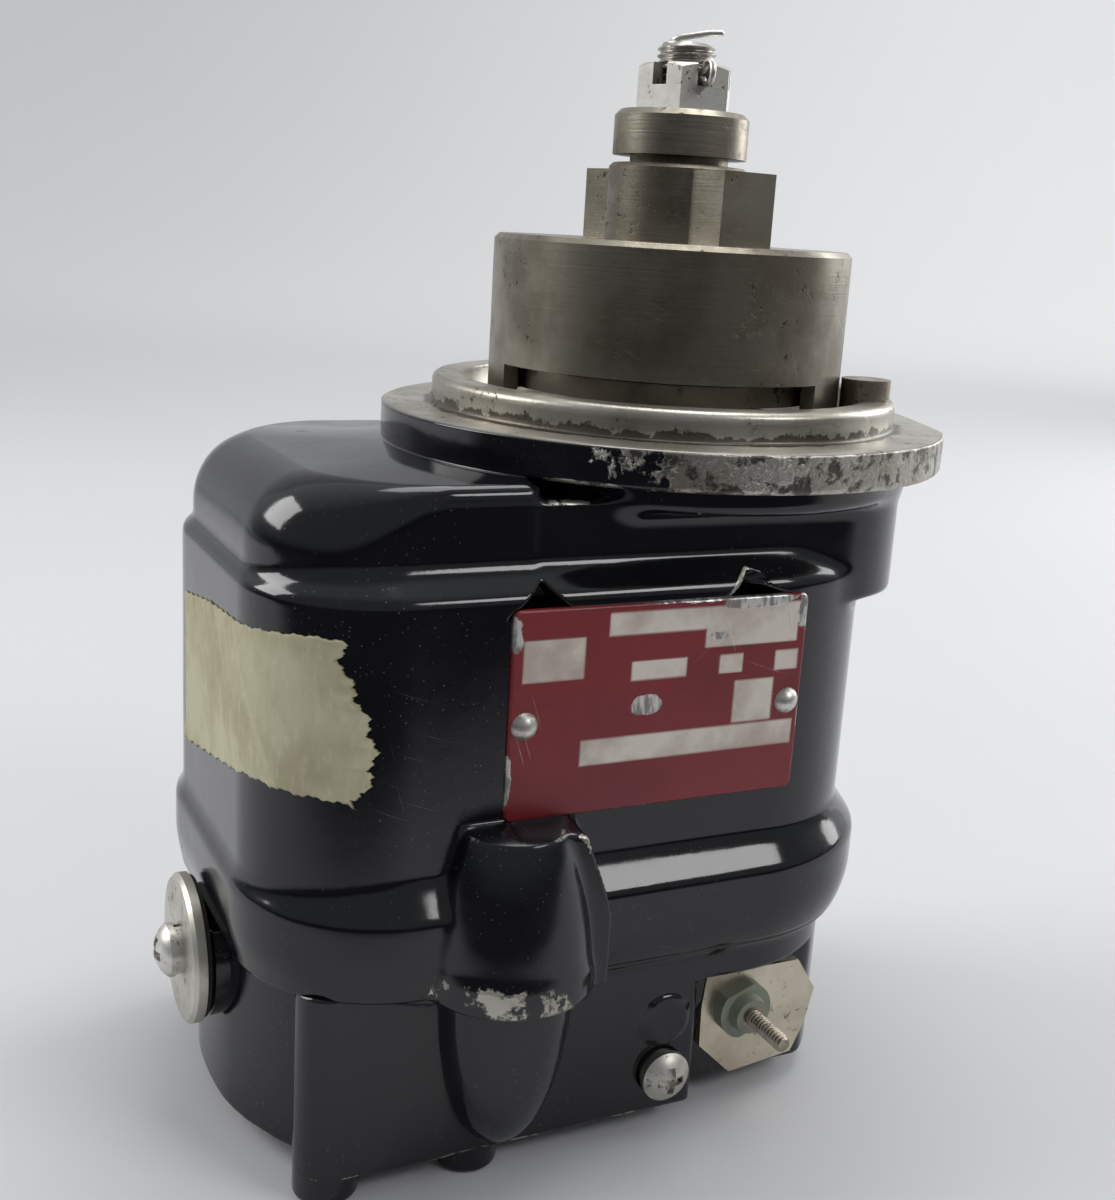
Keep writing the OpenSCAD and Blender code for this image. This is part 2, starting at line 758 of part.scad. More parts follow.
module distributor_block() color("#23201d") difference() {
    union() {
        plate_at(block_bottom_z, block_top_z - block_bottom_z) difference() {
            housing_cavity_outline(0.15);
            for (p = concat(posts, pads)) translate(p) circle(post_r + 0.2);
            translate([recess_x - recess_wall - 0.2, -2 * housing_half])
                square([2 * frame_right, 2 * housing_half + recess_y + recess_wall + 0.2]);
        }
        at_outlets() translate([0, 0, rest_z]) cylinder(r = outlet_r, h = block_top_z - rest_z);
    }
    at_outlets() {
        translate([0, 0, rest_z - cut]) cylinder(r = outlet_bore_r, h = electrode_bottom_z - rest_z + cut);
        translate([0, 0, electrode_bottom_z - cut]) cylinder(r = electrode_r, h = housing_h);
    }
    translate([axle_x, 0, axle_bottom_z - 0.2]) cylinder(r = axle_r + run_gap, h = housing_h);
}

module electrodes() color("#b08d4c") at_outlets() {
    translate([0, 0, electrode_bottom_z])
        cylinder(r = electrode_r, h = finger_top_z - finger_h / 2 - electrode_bottom_z);
}

module rotor_shaft() color("#8b8880") difference() {
    rotate_extrude() polygon([[0, shaft_tip], [thread_r - 0.8, shaft_tip], [thread_r, shaft_tip - 0.8],
        [thread_r, collar_top - 0.6], [drive_r, collar_top - 0.6], [drive_r, 0.4], [front_seat_r, 0.4],
        [front_seat_r, bearing_bottom_z], [front_seat_r + 1.5, bearing_bottom_z],
        [front_seat_r + 1.5, magnet_bottom_z - 1], [rear_seat_r + 1.5, magnet_bottom_z - 1],
        [rear_seat_r + 1.5, rear_top_z], [rear_seat_r, rear_top_z], [rear_seat_r, rotor_gear_bottom_z],
        [cam_seat_r, rotor_gear_bottom_z], [cam_seat_r, cam_bottom_z], [0, cam_bottom_z]]);
    translate([0, 0, cotter_z]) rotate([90, 0, cotter_deg])
        cylinder(r = cotter_r, h = 4 * thread_r, center = true);
    translate([0, 0, cam_bottom_z - cut]) cylinder(r = screw_r, h = 8 + cut);
    key_body();
}

module key_body() {
    translate([drive_r - 2, -key_w / 2, 9]) cube([3.2, key_w, 12]);
}

module shaft_key() color("#77746c") key_body();

module rotor_magnet() color("#3d3f44") ring(front_seat_r + 1.5, magnet_r, magnet_bottom_z, magnet_top_z);

// Ball bearing pieces, between a bore radius, an outer radius and two levels
module race(r_in, r_out, z0, z1, track_r, ball) {
    difference() {
        ring(r_in, r_out, z0, z1);
        translate([0, 0, (z0 + z1) / 2]) rotate_extrude() translate([track_r, 0]) circle(ball + 0.1);
    }
}

module balls(track_r, z, ball, count) {
    for (i = [0:count - 1]) rotate(i * 360 / count) translate([track_r, 0, z]) sphere(r = ball, $fn = 32);
}

module front_outer_race() color("#a09d95")
    race(front_track + 2, front_bearing_r, bearing_bottom_z, bearing_top_z, front_track, front_ball);
module front_inner_race() color("#a09d95")
    race(front_seat_r, front_track - 2, bearing_bottom_z, bearing_top_z, front_track, front_ball);
module front_balls() color("#c8c6c0")
    balls(front_track, (bearing_bottom_z + bearing_top_z) / 2, front_ball, 8);
module rear_outer_race() color("#a09d95")
    race(rear_track + 1.7, rear_bearing_r, rear_bottom_z, rear_top_z, rear_track, rear_ball);
module rear_inner_race() color("#a09d95")
    race(rear_seat_r, rear_track - 1.7, rear_bottom_z, rear_top_z, rear_track, rear_ball);
module rear_balls() color("#c8c6c0")
    balls(rear_track, (rear_bottom_z + rear_top_z) / 2, rear_ball, 8);

module snap_ring() color("#6d6b66") plate_at(bearing_bottom_z - ring_t, ring_t) difference() {
    circle(front_bearing_r + ring_bite);
    circle(front_bearing_r - 2);
    wedge(170, 190, 2 * front_bearing_r);
}

module oil_seal() color("#2a2625") rotate_extrude() polygon([[front_seat_r + run_gap, seal_top_z - seal_h],
    [seal_r, seal_top_z - seal_h], [seal_r, seal_top_z], [seal_r - 2, seal_top_z],
    [front_seat_r + 2.5, seal_top_z - 1.5], [front_seat_r + run_gap, seal_top_z - 1.5]]);

module pole_shoes() color("#5d5f63") for (s = [0, 1]) mirror([0, s, 0])
    difference() {
        plate_at(cap_top_z, shoe_top_z - cap_top_z) difference() {
            intersection() {
                union() {
                    translate([shoe_left, shoe_face]) square([shoe_right - shoe_left, inner_half]);
                    translate([-shoe_face, shoe_arm]) square([shoe_face + shoe_right, inner_half]);
                }
                frame_cavity_outline();
            }
            circle(magnet_r + pole_gap);
        }
        for (p = cap_screws) if (p.y > 0) translate([p.x, p.y, cap_top_z - cut])
            cylinder(r = cap_screw_r, h = cap_screw_len);
    }

module coil_core() color("#6b6d70")
    translate([coil_x - core_w / 2, -shoe_face, coil_z - core_w / 2]) cube([core_w, 2 * shoe_face, core_w]);

module coil() color("#6e2f22") difference() {
    translate([coil_x, 0, coil_z]) rotate([90, 0, 0]) cylinder(r = coil_r, h = coil_len, center = true);
    coil_core();
}

module high_tension_tab() color("#b08d4c") difference() {
    union() {
        translate([coil_x - tab_root / 2, -tab_w / 2, brush_top_z])
            cube([axle_x - coil_x + tab_root / 2 + tab_past_axle, tab_w, tab_t]);
        translate([coil_x - tab_root / 2, -tab_w / 2, brush_top_z])
            cube([tab_root, tab_w, coil_z - coil_r - brush_top_z + 0.5]);
    }
    translate([coil_x, 0, coil_z]) rotate([90, 0, 0]) cylinder(r = coil_r, h = coil_len, center = true);
}

module bearing_cap() color("#8d8b86") difference() {
    union() {
        plate_at(cap_bottom_z, cap_t) difference() {
            intersection() {
                frame_cavity_outline();
                translate([-inner_left + 1, -inner_half]) square([2 * inner_left, 2 * inner_half]);
            }
            for (p = posts) post_plan(p, 0.5);
        }
        translate([0, 0, rear_bottom_z]) cylinder(r = rear_bearing_r + 3, h = cap_top_z - rear_bottom_z);
        translate([axle_x, 0, cap_bottom_z - 2]) cylinder(r = axle_r + 3, h = cap_t + 2);
    }
    translate([0, 0, rear_bottom_z - cut]) cylinder(r = rear_bearing_r, h = rear_bearing_w + 2 * cut);
    translate([axle_x, 0, rear_bottom_z]) cylinder(r = axle_r + run_gap, h = 2 * rear_bearing_w);
    for (p = cap_screws) translate([p.x, p.y, cap_bottom_z - cut])
        cylinder(r = cap_screw_r, h = cap_t + 2 * cut);
    for (p = [pivot, post_foot]) translate([p.x, p.y, cap_bottom_z - cut])
        cylinder(r = pivot_r, h = cap_t + 2 * cut);
}

module bearing_cap_screws() color("#8a8880") for (p = cap_screws) translate([p.x, p.y, cap_bottom_z]) {
    translate([0, 0, -2.4]) difference() {
        cylinder(r = cap_screw_r + 1.4, h = 2.4);
        translate([-2 * cap_screw_r, -0.4, -cut]) cube([4 * cap_screw_r, 0.8, cut + 0.9]);
    }
    cylinder(r = cap_screw_r, h = cap_t + cap_screw_len - cut);
}

// Spur gear outline with straight-flanked teeth, one of them centred on the +X axis
module gear_outline(pitch_r, teeth) {
    half = (PI * gear_module - backlash) / 4;
    root_r = pitch_r - 1.25 * gear_module;
    tip_r = pitch_r + gear_module;
    flank = tan(20);
    function lean(r, side, i) = let (w = half - (r - pitch_r) * flank,
        a = i * 360 / teeth + side * w / r * 180 / PI) r * [cos(a), sin(a)];
    polygon([for (i = [0:teeth - 1]) each [lean(root_r, -1, i), lean(tip_r, -1, i), lean(tip_r, 1, i),
        lean(root_r, 1, i)]]);
}

module rotor_gear() color("#8c8a84") plate_at(rotor_gear_bottom_z, gear_w) difference() {
    gear_outline(rotor_pitch_r, rotor_teeth);
    circle(rear_seat_r);
}

module breaker_cam() color("#77756f") plate_at(cam_bottom_z, cam_h) difference() {
    intersection() {
        circle(lobe_r);
        square([2 * lobe_r, 2 * flat_r], center = true);
    }
    circle(cam_seat_r);
}

module cam_screw() color("#8a8880") {
    translate([0, 0, cam_bottom_z - 2.4]) difference() {
        cylinder(r = cam_seat_r + 1, h = 2.4);
        translate([-2 * cam_seat_r, -0.5, -cut]) cube([4 * cam_seat_r, 1, cut + 1]);
    }
    translate([0, 0, cam_bottom_z]) cylinder(r = screw_r, h = 7);
}

module breaker_pivot() color("#a09d95") translate([pivot.x, pivot.y, arm_top_z - arm_h - 1])
    cylinder(r = pivot_r, h = cap_top_z - arm_top_z + arm_h + 1);

module breaker_arm() color("#7a4a2c") {
    plate_at(arm_top_z - arm_h, arm_h) difference() {
        union() {
            translate([contact_x - 2, arm_y - arm_half]) square([pivot.x - contact_x + 2, 2 * arm_half]);
            translate(pivot) circle(pivot_r + 1.8);
            translate([-1.5, lobe_r + clear_gap]) square([3, arm_y - lobe_r - clear_gap]);
        }
        translate(pivot) circle(pivot_r + run_gap);
    }
    translate([contact_x, arm_y - arm_half + 0.1, arm_top_z - arm_h / 2]) rotate([90, 0, 0])
        cylinder(r = contact_r, h = 0.6);
}

module fixed_contact() color("#a99b72") {
    face = arm_y - arm_half - 0.5 - contact_gap;
    foot_z = arm_top_z - arm_h - fixed_gap - fixed_t;
    plate_at(foot_z, arm_top_z - foot_z) translate([contact_x - 2, face - 2]) square([4, 1.5]);
    translate([contact_x, face, arm_top_z - arm_h / 2]) rotate([90, 0, 0]) cylinder(r = contact_r, h = 0.6);
    translate([contact_x - 2, face - 2, foot_z]) cube([4, post_foot.y - face + 2, fixed_t]);
    translate([post_foot.x, post_foot.y, foot_z]) cylinder(r = pivot_r, h = cap_top_z - foot_z);
}

module distributor_gear() color("#c9b98f") translate([axle_x, 0, 0]) difference() {
    union() {
        plate_at(rotor_gear_bottom_z, gear_w) rotate(180 / distributor_teeth)
            gear_outline(distributor_pitch_r, distributor_teeth);
        translate([0, 0, axle_bottom_z]) cylinder(r = axle_r, h = axle_top_z - axle_bottom_z);
    }
    translate([0, 0, brush_bore_bottom_z]) cylinder(r = brush_bore_r, h = 4 * brush_len);
    for (i = [0:5]) rotate(60 * i) translate([distributor_pitch_r * 0.6, 0, rotor_gear_bottom_z - cut])
        cylinder(r = 4.5, h = gear_w + 2 * cut);
}

module distributor_finger() color("#b08d4c") translate([axle_x, 0, 0])
    plate_at(finger_top_z - finger_h, finger_h) difference() {
        union() {
            circle(axle_r + 3);
            rotate(finger_deg) translate([0, -2.5]) square([finger_r - 1, 5]);
            rotate(finger_deg) intersection() {
                circle(finger_r);
                translate([finger_r - 4, -4]) square([4, 8]);
            }
        }
        circle(axle_r);
    }

module carbon_brush() color("#2d2d2f") translate([axle_x, 0, brush_top_z - brush_len])
    cylinder(r = brush_r, h = brush_len);

module brush_spring() color("#a09d95") translate([axle_x, 0, 0])
    ring(brush_r - 0.6, brush_r - 0.1, brush_top_z - brush_len - spring_len, brush_top_z - brush_len);

// Coupling body: roof, skirt with two windows, hub and two drive lugs
module impulse_body() color("#6a655b") difference() {
    union() {
        rotate_extrude() polygon([[shell_in_r, shell_skirt], [shell_r, shell_skirt],
            [shell_r, shell_top - 0.8], [shell_r - 0.8, shell_top], [hub_r, shell_top],
            [hub_r, hub_top - 0.6], [hub_r - 0.6, hub_top],
            [tube_r + run_gap, hub_top], [tube_r + run_gap, shell_top - shell_roof_t],
            [shell_in_r, shell_top - shell_roof_t]]);
        for (a = [0, 180]) rotate(lug_deg + a) translate([tube_r + 1, -lug_w / 2, shell_top - 0.5])
            cube([lug_reach - tube_r - 1, lug_w, hub_top - shell_top - 0.3]);
    }
    for (a = [0, 180]) rotate(a) plate_at(shell_skirt - cut, window_top - shell_skirt + cut)
        wedge(window_mid - window_deg / 2, window_mid + window_deg / 2, 2 * shell_r);
}

// Point of the mainspring's spiral, a step along it and a distance out from its inner face
function spring_point(i, out) = let (t = i / spring_steps, turn = 360 * spring_turns * t,
    r = spring_in_r + (spring_out_r - spring_t - spring_in_r) * t + out) r * [cos(turn), sin(turn)];

// Flat mainspring wound as a spiral
module impulse_spring() color("#4a4a4c") plate_at(spring_bottom, spring_top - spring_bottom)
    polygon(concat([for (i = [0:spring_steps]) spring_point(i, 0)],
        [for (i = [spring_steps:-1:0]) spring_point(i, spring_t)]));

module flyweight_carrier() color("#77716a") difference() {
    union() {
        ring(drive_r, tube_r, weight_bottom - 0.2, tube_top);
        plate_at(carrier_bottom, carrier_top - carrier_bottom) difference() {
            circle(carrier_r);
            circle(drive_r);
            for (a = [0, 180]) rotate(window_mid + 90 + a) translate([carrier_r - 5, -8]) square([10, 16]);
        }
    }
    for (a = [0, 180]) rotate(pivot_deg + a) translate([pivot_ring, 0, carrier_bottom - cut])
        cylinder(r = rivet_r, h = carrier_top - carrier_bottom + 2 * cut);
    key_body();
}

// Flyweight in the place of the first one, turned about the axis by an angle
module flyweight(turn) {
    rotate(turn) plate_at(weight_bottom, weight_top - weight_bottom) difference() {
        intersection() {
            difference() {
                circle(weight_r);
                circle(weight_in_r);
            }
            wedge(weight_span[0], weight_span[1], 2 * weight_r);
        }
        difference() {
            wedge(weight_heel_deg, weight_span[1] + 20, 2 * weight_r);
            circle(weight_heel_r);
        }
        rotate(pivot_deg) translate([pivot_ring, 0]) circle(rivet_r + run_gap);
    }
}

module flyweight_a() color("#868078") flyweight(0);
module flyweight_b() color("#868078") flyweight(180);

module flyweight_rivets() color("#8f8b82") for (a = [0, 180])
    rotate(pivot_deg + a) translate([pivot_ring, 0, 0]) {
        translate([0, 0, weight_bottom - 0.3]) cylinder(r = rivet_r, h = carrier_top - weight_bottom + 0.3);
        translate([0, 0, carrier_top]) cylinder(r1 = rivet_r + 0.8, r2 = rivet_r, h = 0.8);
    }

module drive_collar() color("#605c55") rotate_extrude() polygon([[drive_r, tube_top], [collar_r, tube_top],
    [collar_r, collar_top - collar_edge], [collar_r - collar_edge, collar_top], [thread_r + 0.3, collar_top],
    [thread_r + 0.3, collar_top - 0.6], [drive_r, collar_top - 0.6]]);

module castle_nut() color("#a9a79f") translate([0, 0, collar_top]) rotate(nut_deg) difference() {
    intersection() {
        cylinder(r = nut_flats / sqrt(3), h = nut_h, $fn = 6);
        rotate_extrude() polygon([[0, 0], [nut_flats, 0], [nut_flats, 1], [nut_flats / 2 + 1.4, nut_h - 1],
            [nut_flats / 2 - 0.2, nut_h], [0, nut_h]]);
    }
    translate([0, 0, -cut]) cylinder(r = thread_r, h = nut_h + 2 * cut);
    for (a = [30, 90, 150]) rotate(a) translate([-nut_flats, -castle_w / 2, nut_h - castle_depth])
        cube([2 * nut_flats, castle_w, castle_depth + cut]);
}

module cotter_pin() color("#a39f95") translate([0, 0, cotter_z]) rotate([90, 0, cotter_deg]) {
    translate([0, 0, -cotter_tail]) cylinder(r = cotter_r, h = cotter_head + cotter_tail);
    translate([0, 0, cotter_head]) sphere(r = cotter_head_r, $fn = 32);
}

frame_housing();
distributor_housing();
stop_pin();
data_plate();
plate_drive_screws();
masking_tape();
housing_screws();
ground_screw();
condenser();
terminal_bushing();
terminal_stud();
side_cover_gasket();
side_cover();
side_cover_lock_washer();
side_cover_screw();
distributor_block();
electrodes();
rotor_shaft();
rotor_magnet();
shaft_key();
front_outer_race();
front_balls();
front_inner_race();
snap_ring();
oil_seal();
pole_shoes();
coil_core();
coil();
high_tension_tab();
bearing_cap();
bearing_cap_screws();
rear_outer_race();
rear_balls();
rear_inner_race();
rotor_gear();
breaker_cam();
cam_screw();
breaker_pivot();
breaker_arm();
fixed_contact();
distributor_gear();
distributor_finger();
carbon_brush();
brush_spring();
impulse_body();
impulse_spring();
flyweight_carrier();
flyweight_a();
flyweight_b();
flyweight_rivets();
drive_collar();
castle_nut();
cotter_pin();
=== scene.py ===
import json
import math

import bmesh
import bpy
import numpy as np
from mathutils import Matrix, Vector


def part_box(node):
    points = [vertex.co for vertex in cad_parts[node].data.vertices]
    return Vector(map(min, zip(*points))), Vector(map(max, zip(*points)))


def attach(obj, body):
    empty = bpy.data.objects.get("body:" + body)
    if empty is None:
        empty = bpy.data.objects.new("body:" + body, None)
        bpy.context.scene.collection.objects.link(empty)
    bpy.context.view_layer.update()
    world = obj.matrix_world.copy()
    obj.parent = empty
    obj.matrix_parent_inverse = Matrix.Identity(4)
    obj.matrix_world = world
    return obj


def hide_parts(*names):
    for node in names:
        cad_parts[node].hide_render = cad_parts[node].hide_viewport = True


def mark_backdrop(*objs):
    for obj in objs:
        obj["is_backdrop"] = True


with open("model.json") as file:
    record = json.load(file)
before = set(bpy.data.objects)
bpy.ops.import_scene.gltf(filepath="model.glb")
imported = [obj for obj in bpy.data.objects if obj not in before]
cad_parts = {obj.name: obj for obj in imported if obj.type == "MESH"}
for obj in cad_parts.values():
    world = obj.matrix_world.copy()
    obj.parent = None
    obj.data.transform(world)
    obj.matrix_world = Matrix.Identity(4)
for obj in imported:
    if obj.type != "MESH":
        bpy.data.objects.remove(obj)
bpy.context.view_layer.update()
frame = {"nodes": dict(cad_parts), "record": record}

MM = 0.001
NODES = frame["nodes"]

# Camera of the photograph, in millimetres, degrees and pixels of its 1115 by 1200 frame
CAMERA_PLACE = (-126.4, -218.8, 29.9)
CAMERA_TURN = 26.52
CAMERA_DIP = 14.29
CAMERA_ROLL = 3.47
FOCAL_PIXELS = 1483.0
PHOTO_HEIGHT = 1200.0
SENSOR = 36.0

# Levels along the rotor axis, in millimetres, with the flange face at zero
SEAM_Z = -80.0
BASE_Z = -110.0
REST_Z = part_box("distributor_housing")[0].z / MM
BELT_TOP_Z = -62.5
SHOULDER_Z = -17.5
FLANGE_T = 6.0
HUMP_TOP_Z = -6.0

# Outlines in plan, in millimetres: left end, right end, half thickness, left and right corner radius
SLAB = (-76.4, 31.0, 37.0, 20.0, 28.0)
BELT = (-77.6, 34.6, 40.6, 23.6, 31.6)
UPPER = (-74.9, 36.5, 33.0, 18.0, 20.0)
HOUSING = (-77.0, 31.0, 35.5, 3.0, 27.5)
END_WALL_R = 45.0
POST = (-65.8, 30.5, 5.0)
POST_WEB = 16.0
WALL = 5.0

FLANGE_R = 47.0
FLANGE_FLAT = 45.8
FLANGE_FLAT_DEG = -20.0
PILOT_R = 38.7
PILOT_IN_R = 33.7
PILOT_H = 4.7

BULLET_X = -40.3
BULLET_Y = -36.0
BULLET_H = 25.0
BULLET_TIP_H = 28.0

# Middles of the notches above the data plate, and the round cast mark: place along x, level and radius
POCKET_X = (-37.4, -2.9)
MARK = (-11.0, -93.6, 4.2)

# Where the masking tape starts on the left end wall
TAPE_BACK_Y = 16.0

# Rays that the casting skins are measured along start on this upright line
SPINE_X = -34.0
SKIN_COLUMNS = 540


# Plan outlines and solid shapes as distance fields, in millimetres


def rounded_plan(x, y, outline):
    """Distance to a rectangle whose left and right corners have their own radius: the usual rounded
    box formula, with the radius picked by the side of the middle that the point is on."""
    left, right, half, left_r, right_r = outline
    middle = (left + right) / 2
    r = np.where(x < middle, left_r, right_r)
    qx = np.abs(x - middle) - (right - left) / 2 + r
    qy = np.abs(y) - half + r
    return np.hypot(np.maximum(qx, 0), np.maximum(qy, 0)) + np.minimum(np.maximum(qx, qy), 0) - r


def upright(plan, z, low, high, edge):
    """A plan outline raised from one level to another, with its rims rounded by the edge radius."""
    qx = plan + edge
    qz = np.abs(z - (low + high) / 2) - (high - low) / 2 + edge
    return np.hypot(np.maximum(qx, 0), np.maximum(qz, 0)) + np.minimum(np.maximum(qx, qz), 0) - edge


def blend(a, b, width):
    """Union of two fields with a fillet: the lesser of the two, less a parabola where they are close."""
    h = np.clip(0.5 + 0.5 * (b - a) / width, 0, 1)
    return b * (1 - h) + a * h - width * h * (1 - h)


def carve(a, b, width):
    """First field with the second cut out of it, the cut's rim rounded by the width."""
    return -blend(-a, b, width)


def trim(a, b, width):
    """Overlap of two fields with a rounded rim."""
    return -blend(-a, -b, width)


def slope(plan, z, level, run, rise):
    """Half space under a sloped face that meets the outline at the level and leans in by run over rise."""
    return (plan * rise + (z - level) * run) / math.hypot(rise, run)


def ease(value):
    """Smooth step from 0 to 1."""
    t = np.clip(value, 0, 1)
    return t * t * (3 - 2 * t)


def bullet_upper(x, y, z):
    """Upper half of the bullet boss: a radius that swells as a parabola from its flat top to the seam, with a
    proud ring along the seam."""
    t = np.clip((SEAM_Z + BULLET_H - z) / BULLET_H, 0, 1)
    radius = 8.6 + 4.5 * (1 - (1 - t) ** 2) + 0.35 * ease((SEAM_Z + 5.4 - z) / 0.9)
    barrel = np.hypot(x - BULLET_X, y - BULLET_Y) - radius
    return trim(barrel, z - (SEAM_Z + BULLET_H), 1.0)


def bullet_wing(x, y, z):
    """Web beside the bullet boss: the overlap of the half spaces left of its slanted edge, left of its
    upright edge, right of the boss's axis, between its front and back faces and under its top."""
    top = SEAM_Z + BULLET_H
    slant = ((x + 31.4) * 13.75 + (z - top) * 5.0) / math.hypot(13.75, 5.0)
    side = trim(slant, x + 26.6, 0.8)
    face = trim(-y - 43.0 - 0.22 * (x + 30), np.maximum(BULLET_X - x, y + 25.0), 0.6)
    return trim(trim(side, face, 0.8), z - top + 0.8, 1.0)


def pocket(x, y, z, middle):
    """Notch above the data plate: the space under two slanted planes that meet over its middle."""
    roof = (np.abs(x - middle) * 3.6 + (z + 19.7) * 3.9) / math.hypot(3.6, 3.9)
    return np.maximum(np.maximum(roof, -24.5 - z), y + 33.4)


def frame_field(x, y, z):
    """Frame casting: coil hump whose edge radius grows towards its rounded end, upper wall, flange and its
    collar, slab with its sloped shoulder, belt with its slopes, bullet boss and web, joined with fillets."""
    rounding = ease((-50.0 - x) / 18.0)
    hump_plan = rounded_plan(x, y, (UPPER[0], -36.0, 33.0, 18.0, 3.0))
    hump = upright(hump_plan, z, -60, HUMP_TOP_Z, 2.2 + 8.0 * rounding)
    upper = upright(rounded_plan(x, y, UPPER), z, -26.5, -8.4, 1.0 + 8.0 * rounding)
    body = blend(hump, upper, 0.9)
    turn = math.radians(FLANGE_FLAT_DEG)
    disc = np.maximum(np.hypot(x, y) - FLANGE_R, x * math.cos(turn) + y * math.sin(turn) - FLANGE_FLAT)
    collar = upright(np.hypot(x, y) - 41.0, z, -10.5, -2, 2.0)
    body = blend(body, collar, 2.5)
    plan = rounded_plan(x, y, SLAB)
    slab = upright(plan, z, -95, SHOULDER_Z, 0.6)
    slab = trim(slab, slope(plan, z, SHOULDER_Z - 4.0, 4.0, 4.0), 0.8)
    for middle in POCKET_X:
        slab = carve(slab, pocket(x, y, z, middle), 0.4)
    body = blend(body, slab, 1.3)
    plan = rounded_plan(x, y, BELT)
    belt = upright(plan, z, -95, BELT_TOP_Z, 0.5)
    belt = trim(belt, slope(plan, z, BELT_TOP_Z - 5.0, 3.6, 5.0), 0.6)
    belt = trim(belt, slope(plan, -z, 76.8, 1.4, 3.2), 1.6)
    body = blend(body, belt, 1.1)
    body = blend(body, blend(bullet_upper(x, y, z), bullet_wing(x, y, z), 1.4), 1.2)
    flange = upright(disc, z, -FLANGE_T, 1.0, 0.9)
    return blend(body, flange, 0.8 + 2.6 * rounding)


def housing_field(x, y, z):
    """Distributor housing: rounded plan cut to the curved end wall, corner posts, a lip that flares to the
    seam, pointed half of the bullet boss and cast mark, with the terminal recess carved out."""
    wall = np.hypot(np.minimum(x - HOUSING[0] - END_WALL_R, 0), y) - END_WALL_R
    plan = trim(rounded_plan(x, y, HOUSING), wall, 1.6)
    along = np.clip(x, POST[0], POST[0] + POST_WEB)
    plan = blend(plan, np.hypot(x - along, np.abs(y) - POST[1]) - POST[2], 1.4)
    body = upright(plan, z, BASE_Z, SEAM_Z + 10, 0.9)
    flare = ease((x + 60) / 8)
    lip = trim(plan - 2.6 * flare, rounded_plan(x, y, BELT) + 1.8, 0.5)
    body = blend(body, upright(lip, z, SEAM_Z - 1.4, SEAM_Z + 10, 0.4), 0.2 + 2.8 * flare)
    t = np.clip((SEAM_Z - z) / BULLET_TIP_H, 0, 1)
    ogive = np.hypot(x - BULLET_X, y + 35.8) - 10.8 * np.sqrt(np.maximum(1 - t ** 2.2, 0)) + 0.2
    body = blend(body, ogive, 1.2)
    mark = np.maximum(np.hypot(x - MARK[0], z - MARK[1]) - MARK[2], -36.0 - y)
    body = blend(body, np.maximum(mark, y + 20), 0.5)
    recess = np.maximum(np.maximum(-5.0 - x, y + 29.5), z + 88.0)
    return carve(body, recess, 0.9)


def inner_plan(x, y, outline, wall):
    """Inside of a casting in plan: its outline moved in by the wall."""
    left, right, half, left_r, right_r = outline
    moved = (left + wall, right - wall, half - wall, max(left_r - wall, 2.0), max(right_r - wall, 2.0))
    return rounded_plan(x, y, moved)


# Meshes from grids of points


def reach(field, turn, level):
    """How far a level ray from the spine goes before it leaves the field, found by halving the interval
    on all rays at once. Turn and level are arrays of one shape."""
    near = np.full(turn.shape, 2.0)
    far = np.full(turn.shape, 110.0)
    for _ in range(26):
        middle = (near + far) / 2
        inside = field(SPINE_X + middle * np.cos(turn), middle * np.sin(turn), level) < 0
        near = np.where(inside, middle, near)
        far = np.where(inside, far, middle)
    return near


def sharpness(field, points, step=0.9):
    """How strongly the surface bends outwards: the sum of the field's second differences at each point,
    which is about one over the edge radius."""
    x, y, z = points[..., 0], points[..., 1], points[..., 2]
    around = -6 * field(x, y, z)
    for axis in range(3):
        for side in (-step, step):
            moved = [x, y, z]
            moved[axis] = moved[axis] + side
            around = around + field(*moved)
    return np.clip(around / step ** 2, 0, 0.8)


def column_turns(count):
    """Angles of the rays, spaced evenly along the belt's outline and closer over the bullet boss: the
    running sum of the wanted density, read backwards."""
    fine = np.linspace(-math.pi, math.pi, 7201)
    plan_reach = reach(lambda x, y, z: rounded_plan(x, y, BELT), fine, np.zeros_like(fine))
    x = SPINE_X + plan_reach * np.cos(fine)
    y = plan_reach * np.sin(fine)
    pace = np.hypot(np.gradient(x), np.gradient(y))
    density = pace * (1 + 0.9 * ((y < 0) & (np.abs(x - BULLET_X) < 17)))
    total = np.concatenate([[0], np.cumsum(density[:-1])])
    wanted = np.arange(count) / count * total[-1]
    return np.interp(wanted, total, fine)


def levels(*stretches):
    """Levels of the rows: stretches of (start, end, count) put end to end."""
    return np.concatenate([np.linspace(a, b, n, endpoint=False) for a, b, n in stretches])


def mesh_from(name, points, faces, values=None, smooth=True):
    """New object from an array of points in millimetres and an array of quads, with a float attribute on
    the points for each named array of values."""
    mesh = bpy.data.meshes.new(name)
    points = np.asarray(points, float).reshape(-1, 3) * MM
    mesh.vertices.add(len(points))
    mesh.vertices.foreach_set("co", points.astype(np.float32).ravel())
    corners = faces.shape[1]
    mesh.loops.add(faces.size)
    mesh.loops.foreach_set("vertex_index", faces.astype(np.int32).ravel())
    mesh.polygons.add(len(faces))
    mesh.polygons.foreach_set("loop_start", (np.arange(len(faces)) * corners).astype(np.int32))
    mesh.polygons.foreach_set("use_smooth", np.full(len(faces), smooth))
    mesh.update(calc_edges=True)
    for key, data in (values or {}).items():
        attribute = mesh.attributes.new(key, "FLOAT", "POINT")
        attribute.data.foreach_set("value", np.asarray(data, np.float32).ravel())
    mesh.validate()
    piece = bpy.data.objects.new(name, mesh)
    bpy.context.scene.collection.objects.link(piece)
    return piece


